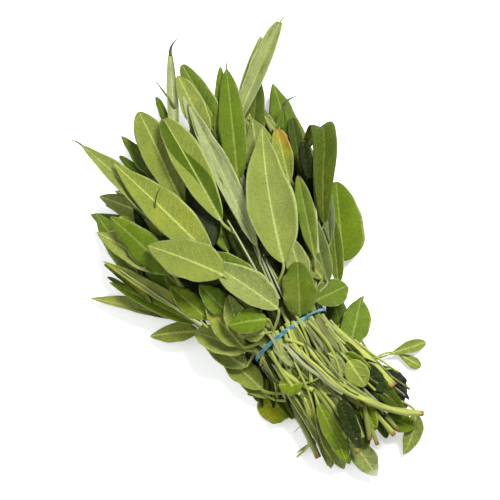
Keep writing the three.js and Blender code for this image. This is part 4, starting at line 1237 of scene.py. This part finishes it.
def grown_piece(name, mesh, tree, values):
    """The object that a tree makes from a mesh of seeds, as a plain mesh."""
    for filled in values.values():
        mesh.materials.append(filled)
    piece = bpy.data.objects.new(name, mesh)
    bpy.context.collection.objects.link(piece)
    growth = piece.modifiers.new("growth", "NODES")
    growth.node_group = tree
    for socket in tree.interface.items_tree:
        if socket.name in values:
            growth[socket.identifier] = values[socket.name]
    seen = bpy.context.evaluated_depsgraph_get()
    made = bpy.data.meshes.new_from_object(
        piece.evaluated_get(seen), preserve_all_data_layers=True, depsgraph=seen)
    made.name = name
    piece.modifiers.clear()
    piece.data = made
    return piece


CARRIED = (
    "root", "bend_a", "bend_b", "tip", "form", "turns", "shape", "looks", "marks", "extras",
    "stalk", "bark",
)
NO_CUT = 90  # how far a stalk without a browned cut end lies from one, in mm


def seed_mesh(name, sprig):
    """The points and edges that a sprig grows from, with everything they carry."""
    places, edges = [], []
    carried = {name: [] for name in CARRIED}
    single = {name: [] for name in ("fine", "pale", "thick")}

    def carry(looks, seed, **values):
        for key in carried:
            carried[key].append(values.get(key, (0, 0, 0)))
        carried["looks"][-1] = (looks.get("grey", 0), looks.get("deep", 0), looks.get("warm", 0))
        carried["marks"][-1] = (looks.get("wilt", 0), looks.get("blush", 0), seed)
        carried["shape"][-1] = (*looks.get("shape", SHAPE), 0)
        carried["extras"][-1] = (looks.get("streak", 0), looks.get("whitish", 0), looks.get("frost", 0))
        carried["bark"][-1] = (looks.get("frost", 0), looks.get("woody", 0), 0)
        for key in single:
            single[key].append(values.get(key, 0))

    for grown in sprig.blades:
        blade = grown.blade
        places.append((0, 0, 0))
        carry(grown.looks, grown.seed, root=blade.root, bend_a=blade.bends[0], bend_b=blade.bends[1],
              tip=blade.tip, form=(blade.wide, math.radians(blade.fold), grown.curl),
              turns=(*map(math.radians, blade.roll), grown.wave), fine=grown.fine,
              pale=float(blade.pale))
    for line in sprig.stalks:
        long = 0
        for k, (point, radius) in enumerate(zip(line.points, line.radii)):
            long += math.dist(point, line.points[k - 1]) if k else 0
            if k:
                edges.append((len(places) - 1, len(places)))
            places.append(tuple(point * MM))
            from_cut = long if line.cut else NO_CUT
            carry(line.looks, line.seed, thick=radius * MM, stalk=(from_cut, long, 0))
    mesh = bpy.data.meshes.new(name + "_seeds")
    mesh.from_pydata(places, edges, [])
    for key, values in carried.items():
        data = mesh.attributes.new(key, "FLOAT_VECTOR", "POINT").data
        data.foreach_set("vector", np.array(values, float).ravel())
    for key, values in single.items():
        mesh.attributes.new(key, "FLOAT", "POINT").data.foreach_set("value", np.array(values, float))
    return mesh


# ---- Materials ----
def material(name, **sockets):
    """A new material with uniform values set on its shader's own sockets."""
    made = bpy.data.materials.new(name)
    made.use_nodes = True
    shader = made.node_tree.nodes["Principled BSDF"]
    for label, value in sockets.items():
        shader.inputs[label.replace("_", " ")].default_value = value
    return made, made.node_tree, shader


def carried_by(tree, name):
    """A vector that the mesh carries at its points."""
    return put(tree, "ShaderNodeAttribute", attribute_name=name).other("Vector")


def ramp(value, low, high):
    """0 below low and 1 above high, eased between. low may be the greater."""
    return put(value.tree, "ShaderNodeMapRange", value, low, high, 0.0, 1.0,
               interpolation_type="SMOOTHSTEP")


def tinted(share, under, over):
    tree = share.tree
    return put(tree, "ShaderNodeMix", share, under, over, data_type="RGBA")


def noise(tree, place, scale, detail=2.0, rough=0.5):
    return put(tree, "ShaderNodeTexNoise", into={"Vector": place, "Scale": scale, "Detail": detail,
                                                  "Roughness": rough})


def bumped(tree, shader, height, distance, strength=1.0):
    bump = put(tree, "ShaderNodeBump",
               into={"Height": height, "Distance": distance, "Strength": strength})
    tree.links.new(bump.socket, shader.inputs["Normal"])


def swing(pattern, size):
    """A pattern of 0 to 1 as a rise and fall of that size."""
    return (pattern - 0.5) * size


# Colours of a leaf. dark is the colour of painted shade, and of the cracks in frosted leaves.
LEAF = Sizes(
    pale=(0.165, 0.205, 0.032), grey=(0.2, 0.235, 0.1), vein_under=(0.265, 0.315, 0.06),
    upper=(0.095, 0.155, 0.004), grey_upper=(0.085, 0.12, 0.03), vein_upper=(0.12, 0.19, 0.01),
    midrib=(0.44, 0.49, 0.14), edge=(0.42, 0.47, 0.19), dark=(0.009, 0.015, 0.003),
    warm=(0.27, 0.25, 0.008), blush=(0.36, 0.10, 0.01), bleached=(0.42, 0.46, 0.30),
    dry=(0.16, 0.10, 0.02), wilted=(0.022, 0.024, 0.018), gloss=0.07, relief=0.3,
)
# Patterns: how many to a millimetre, detail, roughness.
BROAD = (0.09, 3.0)
MOTTLE = (0.6, 3.0, 0.6)
GRAIN = (1.1, 4.0, 0.75)
FUZZ = (5.0, 2.0)
LINES = (1.0, 4.0, 0.7)  # drawn out along the leaf
DRAWN_OUT = Sizes(across=2.2, along=0.035, apart=90)
# How much of each mark shows, as shares.
SHOWN = Sizes(
    veins_under=0.25, net_under=0.2, veins_upper=0.3, net_upper=0.12, strip=0.3, warm=0.7,
    midrib=(0.35, 0.9), deep=0.75, edge=0.75, blush=0.8, cracks=0.7, dried=0.8, worn=0.25,
)
# Where each mark starts and where it is full, along the leaf or across its pattern.
REACH = Sizes(
    warm=(0.35, 0.75), edge=(0.88, 1.0), blush=(0.62, 1.05), frost=(0.35, 0.6),
    cracked=(0.05, 0.3), cracks=(0.4, 0.33), whitish=(0.72, 0.98), dried=(0.965, 1.0),
    worn=(0.5, 0.75),
)
# How far the patterns shade a leaf and move the borders of its marks.
UNEVEN = Sizes(
    mottle=0.4, broad=0.4, grain=1.3, deep=0.6, edge=0.08, blush=0.35, blush_aside=0.25,
    whitish=0.2, dried=0.12, rough=0.15,
)
# The strip of the upper side that shows where a pale leaf rolls over, darkened there as painted shade
# in the fold.
STRIP = Sizes(sides=(-0.4, 0.5), along=(0.25, 0.8), wide=(0.5, 0.38))
ROUGH = Sizes(upper=0.46, woolly=0.78)
FELT = Sizes(veins=0.7, net=0.5, fuzz=0.45)
QUILT = Sizes(veins=0.6, net=0.5, fuzz=0.2)


def leaf_marks(tree):
    """What the mesh of a leaf carries, and the patterns that follow from it."""
    across, far, _ = parts_of(carried_by(tree, "leaf_mm"))
    u, t, _ = parts_of(carried_by(tree, "place"))
    grey, deep, warm = parts_of(carried_by(tree, "looks"))
    wilt, blush, seed = parts_of(carried_by(tree, "marks"))
    streak, whitish, frost = parts_of(carried_by(tree, "extras"))
    woolly = put(tree, "ShaderNodeAttribute", attribute_name="woolly").other("Fac")
    spot = carried_by(tree, "leaf_mm")
    broad = noise(tree, spot, *BROAD)
    drawn_out = joined(tree, u * DRAWN_OUT.across, far * DRAWN_OUT.along, seed * DRAWN_OUT.apart)

    count = vein_count(far, across, VEINS.spacing) + u.do("SIGN") * VEINS.stagger + seed
    count = count + swing(broad, VEINS.wander)
    from_middle = swing(count.do("FRACT"), VEINS.spacing).do("ABSOLUTE")
    from_vein = (VEINS.spacing / 2 - from_middle).do("ABSOLUTE")
    cells = put(tree, "ShaderNodeTexVoronoi", into={"Vector": spot, "Scale": 1 / VEINS.cell},
                feature="DISTANCE_TO_EDGE")
    return Sizes(
        u=u, t=t, grey=grey, deep=deep, warm=warm, wilt=wilt, blush=blush, streak=streak,
        whitish=whitish, frost=frost, woolly=woolly, broad=broad,
        mottle=noise(tree, spot, *MOTTLE), grain=noise(tree, spot, *GRAIN),
        fuzz=noise(tree, spot, *FUZZ), lines=noise(tree, drawn_out, *LINES),
        veins=ramp(from_vein, VEINS.width, 0.0) * (1 - u * u), net=ramp(cells, VEINS.net, 0.0),
        midrib=ramp(across.do("ABSOLUTE"), mix(*VEINS.midrib, t), 0.0),
    )


def sound_colour(m):
    """The colour of a sound leaf: woolly below, smooth above, with its veins and its shade."""
    under = tinted(m.grey, LEAF.pale, LEAF.grey)
    under = tinted(m.veins * SHOWN.veins_under + m.net * SHOWN.net_under, under, LEAF.vein_under)
    upper = tinted(m.grey, LEAF.upper, LEAF.grey_upper)
    upper = tinted(m.veins * SHOWN.veins_upper + m.net * SHOWN.net_upper, upper, LEAF.vein_upper)
    middle_of_strip = mix(*STRIP.sides, ramp(m.t, *STRIP.along))
    strip = m.streak * ramp((m.u - middle_of_strip).do("ABSOLUTE"), *STRIP.wide)
    colour = tinted(m.woolly * (1 - strip), upper, under)
    # painted shade: the strip is darkened towards the dark colour, as a fold in shade would be
    colour = tinted(strip * SHOWN.strip, colour, LEAF.dark)
    colour = tinted(ramp(m.broad, *REACH.warm) * m.warm * SHOWN.warm, colour, LEAF.warm)
    colour = tinted(m.midrib * mix(*SHOWN.midrib, m.woolly), colour, LEAF.midrib)
    # painted shade: leaves that lie in the shade of the bunch are darkened towards the dark colour,
    # unevenly
    colour = tinted(m.deep * (SHOWN.deep + swing(m.mottle, UNEVEN.deep)), colour, LEAF.dark)
    shade = swing(m.mottle, UNEVEN.mottle) + swing(m.broad, UNEVEN.broad)
    shade = shade + swing(m.grain, UNEVEN.grain) + 1
    return put(colour.tree, "ShaderNodeVectorMath", colour, shade, operation="MULTIPLY")


def worn_colour(m, colour):
    """The pale edge of a leaf, brightened as a painted highlight rim, and what age has done to it."""
    edge = ramp(m.u.do("ABSOLUTE") + swing(m.mottle, UNEVEN.edge), *REACH.edge)
    # a pale hairy margin, brightened further as a painted highlight rim and left out where painted
    # shade falls
    colour = tinted(edge * (1 - m.deep) * SHOWN.edge, colour, LEAF.edge)
    blushed = m.t + swing(m.mottle, UNEVEN.blush) - m.u * UNEVEN.blush_aside
    colour = tinted(m.blush * ramp(blushed, *REACH.blush) * SHOWN.blush, colour, LEAF.blush)
    colour = tinted(m.frost * ramp(m.lines, *REACH.frost), colour, LEAF.bleached)
    cracked = ramp(m.frost, *REACH.cracked) * ramp(m.lines, *REACH.cracks)
    colour = tinted(cracked * SHOWN.cracks, colour, LEAF.dark)
    whitened = ramp(m.t + swing(m.mottle, UNEVEN.whitish), *REACH.whitish)
    colour = tinted(m.whitish * whitened, colour, LEAF.bleached)
    dried = ramp(m.t + swing(m.mottle, UNEVEN.dried), *REACH.dried)
    colour = tinted(dried * SHOWN.dried, colour, LEAF.dry)
    wilted = m.wilt * (1 - ramp(m.mottle, *REACH.worn) * SHOWN.worn)
    return tinted(wilted, colour, LEAF.wilted)


def leaf_material():
    made, tree, shader = material("sage_leaf", Specular_IOR_Level=LEAF.gloss)
    m = leaf_marks(tree)
    colour = worn_colour(m, sound_colour(m))
    tree.links.new(colour.socket, shader.inputs["Base Color"])
    rough = mix(ROUGH.upper, ROUGH.woolly, m.woolly) + swing(m.mottle, UNEVEN.rough)
    tree.links.new(rough.socket, shader.inputs["Roughness"])
    felt = m.veins * FELT.veins + m.net * FELT.net + m.fuzz * FELT.fuzz
    quilt = m.fuzz * QUILT.fuzz - (m.veins * QUILT.veins + m.net * QUILT.net)
    bumped(tree, shader, mix(quilt, felt, m.woolly), LEAF.relief * MM)
    return made


# Colours of the stalks. dark is the colour of painted shade.
STALKS = Sizes(
    fresh=(0.21, 0.25, 0.045), yellow=(0.31, 0.34, 0.055), grey=(0.23, 0.25, 0.11),
    dark=(0.012, 0.015, 0.004), brown=(0.13, 0.065, 0.015), cut=(0.15, 0.05, 0.01),
    bark=(0.05, 0.036, 0.018), frosted=(0.34, 0.38, 0.23), gloss=0.2, relief=0.25,
)
STREAKS = (1.0, 4.0, 0.65)
STREAKS_DRAWN = Sizes(round=1.6, along=0.07, apart=90)
STALK_MOTTLE = (0.5, 3.0, 0.6)
STALK_FUZZ = (4.0, 2.0)
STALK_SHOWN = Sizes(brown=0.35, deep=0.8, cut=0.85, streaks=0.8, fuzz=0.3)
STALK_REACH = Sizes(brown=(0.55, 0.8), bark=(0.25, 0.7), frost=(0.3, 0.6), cut=(3.0, 0.2))
STALK_UNEVEN = Sizes(deep=1, cut=3, shade=2.2)
STALK_ROUGH = (0.5, 0.75)


def in_mm(tree):
    return put(tree, "ShaderNodeTexCoord").other("Object") * (1 / MM)


def stalk_material():
    made, tree, shader = material("sage_stalk", Specular_IOR_Level=STALKS.gloss)
    from_cut, far, _ = parts_of(carried_by(tree, "stalk"))
    grey, deep, warm = parts_of(carried_by(tree, "looks"))
    _, blush, seed = parts_of(carried_by(tree, "marks"))
    frost, woody, _ = parts_of(carried_by(tree, "bark"))
    turned, risen, _ = parts_of(carried_by(tree, "around"))
    drawn = joined(tree, turned * STREAKS_DRAWN.round, risen * STREAKS_DRAWN.round,
                   far * STREAKS_DRAWN.along + seed * STREAKS_DRAWN.apart)
    streaks = noise(tree, drawn, *STREAKS)
    mottle = noise(tree, in_mm(tree), *STALK_MOTTLE)
    colour = tinted(warm, STALKS.fresh, STALKS.yellow)
    colour = tinted(grey, colour, STALKS.grey)
    # painted shade: stalks that lie in the shade of the bunch are darkened towards the dark colour,
    # unevenly
    darkened = deep * (STALK_SHOWN.deep + swing(mottle, STALK_UNEVEN.deep))
    colour = tinted(darkened, colour, STALKS.dark)
    colour = tinted(ramp(streaks, *STALK_REACH.brown) * STALK_SHOWN.brown, colour, STALKS.brown)
    colour = tinted(woody * ramp(streaks, *STALK_REACH.bark), colour, STALKS.bark)
    colour = tinted(frost * ramp(streaks, *STALK_REACH.frost), colour, STALKS.frosted)
    colour = tinted(blush, colour, STALKS.cut)
    browned = ramp(from_cut + swing(mottle, STALK_UNEVEN.cut), *STALK_REACH.cut)
    colour = tinted(browned * STALK_SHOWN.cut, colour, STALKS.cut)
    shade = swing(streaks, STALK_UNEVEN.shade) + 1
    colour = put(tree, "ShaderNodeVectorMath", colour, shade, operation="MULTIPLY")
    tree.links.new(colour.socket, shader.inputs["Base Color"])
    tree.links.new(mix(*STALK_ROUGH, streaks).socket, shader.inputs["Roughness"])
    fuzz = noise(tree, in_mm(tree), *STALK_FUZZ)
    relief = streaks * STALK_SHOWN.streaks + fuzz * STALK_SHOWN.fuzz
    bumped(tree, shader, relief, STALKS.relief * MM)
    return made


RUBBER = Sizes(
    dark=(0.025, 0.11, 0.15), light=(0.07, 0.24, 0.29), dusty=(0.22, 0.38, 0.46), gloss=0.5,
    mottle=(0.35, 3.0, 0.6), light_reach=(0.35, 0.7), dust=(3.0, 3.0, 0.7), dust_reach=(0.6, 0.75),
    dust_share=0.35, rough=(0.3, 0.5), relief=0.05,
)


def rubber_material():
    made, tree, shader = material("blue_rubber", Specular_IOR_Level=RUBBER.gloss)
    spot = in_mm(tree)
    mottle, dust = noise(tree, spot, *RUBBER.mottle), noise(tree, spot, *RUBBER.dust)
    colour = tinted(ramp(mottle, *RUBBER.light_reach), RUBBER.dark, RUBBER.light)
    dusted = ramp(dust, *RUBBER.dust_reach) * RUBBER.dust_share
    colour = tinted(dusted, colour, RUBBER.dusty)
    tree.links.new(colour.socket, shader.inputs["Base Color"])
    tree.links.new(mix(*RUBBER.rough, dust).socket, shader.inputs["Roughness"])
    bumped(tree, shader, dust, RUBBER.relief * MM)
    return made


# ---- The rubber band ----
WINDING = Sizes(
    strand=0.8, thick=0.9, points=240, turns=2, over=125, over_span=40, lift=1.0, gap=0.47,
    sides=16, corner=0.2,
)


def winding_points():
    """The middle of the rubber: a loop that goes round twice and passes over itself once."""
    a, b = BAND.wide / 2 - BAND.thick / 2, BAND.high / 2 - BAND.thick / 2
    centre = BAND.high / 2 - BAND.sunk
    points = []
    for k in range(WINDING.points):
        round_ = 2 * math.pi * WINDING.turns * k / WINDING.points
        second = round_ >= 2 * math.pi
        turn = round_ % (2 * math.pi)
        away = (math.degrees(turn) - WINDING.over) / WINDING.over_span
        eased = min(1, max(0, 0.5 + away / 2))
        swap = math.pi * eased * eased * (3 - 2 * eased) + (math.pi if second else 0)
        lift = WINDING.lift * max(0, math.sin(swap))
        x = WINDING.gap * math.cos(swap)
        y = (a + lift) * math.cos(turn)
        z = centre + (b + lift) * math.sin(turn)
        points.append((x * MM, y * MM, max(z, BAND.thick / 2) * MM))
    return points


def band_tree():
    """A closed strand of rubber along a loop of edges."""
    tree, given = node_tree("wound_band", [
        ("Geometry", "Geometry", None),
        ("Strand width", "Float", WINDING.strand),
        ("Strand thickness", "Float", WINDING.thick),
        ("Sides", "Int", WINDING.sides),
        ("Corner", "Float", WINDING.corner),
        ("Material", "Material", None),
    ])
    radius = 0.5 * MM
    ring = put(tree, "GeometryNodeCurvePrimitiveCircle", given["Sides"], into={"Radius": radius})
    x, y, _ = parts_of(put(tree, "GeometryNodeInputPosition"))
    x, y = x / radius, y / radius
    square = (x**4 + y**4) ** (0 - given["Corner"]) * radius
    width, thick = given["Strand width"], given["Strand thickness"]
    shape = joined(tree, x * square * thick, y * square * width, 0)
    ring = put(tree, "GeometryNodeSetPosition", ring, None, shape)
    line = put(tree, "GeometryNodeMeshToCurve", given["Geometry"])
    line = put(tree, "GeometryNodeSetCurveNormal", line, mode="MINIMUM_TWIST")
    mesh = put(tree, "GeometryNodeCurveToMesh", line, ring)
    mesh = put(tree, "GeometryNodeSetShadeSmooth", mesh)
    mesh = put(tree, "GeometryNodeRealizeInstances", mesh)
    give_out(tree, put(tree, "GeometryNodeSetMaterial", mesh, None, given["Material"]))
    return tree


def wound_band():
    points = winding_points()
    mesh = bpy.data.meshes.new("band_line")
    mesh.from_pydata(points, [(k, (k + 1) % len(points)) for k in range(len(points))], [])
    return grown_piece("rubber_band_wound", mesh, band_tree(), {"Material": rubber_material()})


# ---- Camera, light and floor ----
VIEW = Sizes(
    azimuth=234, elevation=72, far=667, lens=100, sensor=36, across=-19.7, upwards=40.8, height=18,
    clip=0.01,
)
# Lights: where each stands to the camera's right, ahead and up, and its distance in metres.
KEY = Sizes(place=(0.35, 0.4, 1), far=1.05, size=0.45, power=24.5, colour=(1, 0.99, 0.96))
FILL = Sizes(place=(-0.8, -0.2, 0.9), far=1, size=1, power=6.5, colour=(0.95, 0.97, 1))
SKY = Sizes(colour=(0.97, 0.98, 1, 1), strength=0.42)
# The floor glows a little, as a light box would: its light from below fills the bunch and keeps the
# shadows on the floor faint.
FLOOR = Sizes(reach=6, below=0.0004, colour=(0.9, 0.9, 0.9, 1), rough=0.8, glow=0.38)


def framed_view():
    """Sets the camera, and gives the directions to its right and ahead along the surface."""
    turn, tilt = math.radians(VIEW.azimuth), math.radians(VIEW.elevation)
    right = Vector((math.cos(turn), math.sin(turn), 0))
    ahead = Vector((-math.sin(turn), math.cos(turn), 0))
    up = ahead * math.sin(tilt) + Vector((0, 0, math.cos(tilt)))
    back = right.cross(up)
    target = (Vector((0, 0, VIEW.height)) + right * VIEW.across + up * VIEW.upwards) * MM
    camera = bpy.data.objects.new("camera", bpy.data.cameras.new("camera"))
    camera.data.lens, camera.data.sensor_width = VIEW.lens, VIEW.sensor
    camera.data.clip_start = VIEW.clip
    rotation = [[right[k], up[k], back[k]] for k in range(3)]
    camera.matrix_world = Matrix.Translation(target + back * VIEW.far * MM) @ Matrix(rotation).to_4x4()
    bpy.context.collection.objects.link(camera)
    bpy.context.scene.camera = camera
    return right, ahead


def soft_light(name, kind, right, ahead):
    across, along, high = kind.place
    spot = (right * across + ahead * along + Vector((0, 0, high))) * kind.far
    light = bpy.data.objects.new(name, bpy.data.lights.new(name, "AREA"))
    light.data.shape, light.data.size, light.data.energy = "DISK", kind.size, kind.power
    light.data.color = kind.colour
    light.location = spot
    light.rotation_euler = (-spot).to_track_quat("-Z", "Y").to_euler()
    bpy.context.collection.objects.link(light)


def studio(right, ahead):
    soft_light("key", KEY, right, ahead)
    soft_light("fill", FILL, right, ahead)
    world = bpy.data.worlds.new("studio")
    world.use_nodes = True
    background = world.node_tree.nodes["Background"]
    background.inputs["Color"].default_value = SKY.colour
    background.inputs["Strength"].default_value = SKY.strength
    bpy.context.scene.world = world
    bpy.context.scene.view_settings.view_transform = "Standard"


def pale_floor():
    mesh = bpy.data.meshes.new("floor")
    ends = ((-1, -1), (1, -1), (1, 1), (-1, 1))
    corners = [(x * FLOOR.reach, y * FLOOR.reach, -FLOOR.below) for x, y in ends]
    mesh.from_pydata(corners, [], [(0, 1, 2, 3)])
    made, _, shader = material("pale_floor", Base_Color=FLOOR.colour, Roughness=FLOOR.rough,
                               Emission_Strength=FLOOR.glow)
    shader.inputs["Emission Color"].default_value = (1, 1, 1, 1)
    mesh.materials.append(made)
    floor = bpy.data.objects.new("floor", mesh)
    bpy.context.collection.objects.link(floor)


# ---- Everything in its place ----
DRAWS = Draws(SEED)


def sprig_pieces():
    names = [f"sprig_{k + 1:02d}" for k in range(sum(count for count, _, _ in RINGS))]
    corners = [Corners(name) for name in names]
    stems = settled_stems(corners)
    sprigs = growth_of(settled_leaves(stems, corners), stems)
    tree = sprig_tree(blade_tree())
    values = {"Leaf material": leaf_material(), "Stalk material": stalk_material()}
    for name, sprig in zip(names, sprigs):
        piece = grown_piece(name + "_leafy", seed_mesh(name, sprig), tree, values)
        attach(piece, "root")
        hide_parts(name)


sprig_pieces()
band = wound_band()
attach(band, "root")
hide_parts("rubber_band")
pale_floor()
studio(*framed_view())
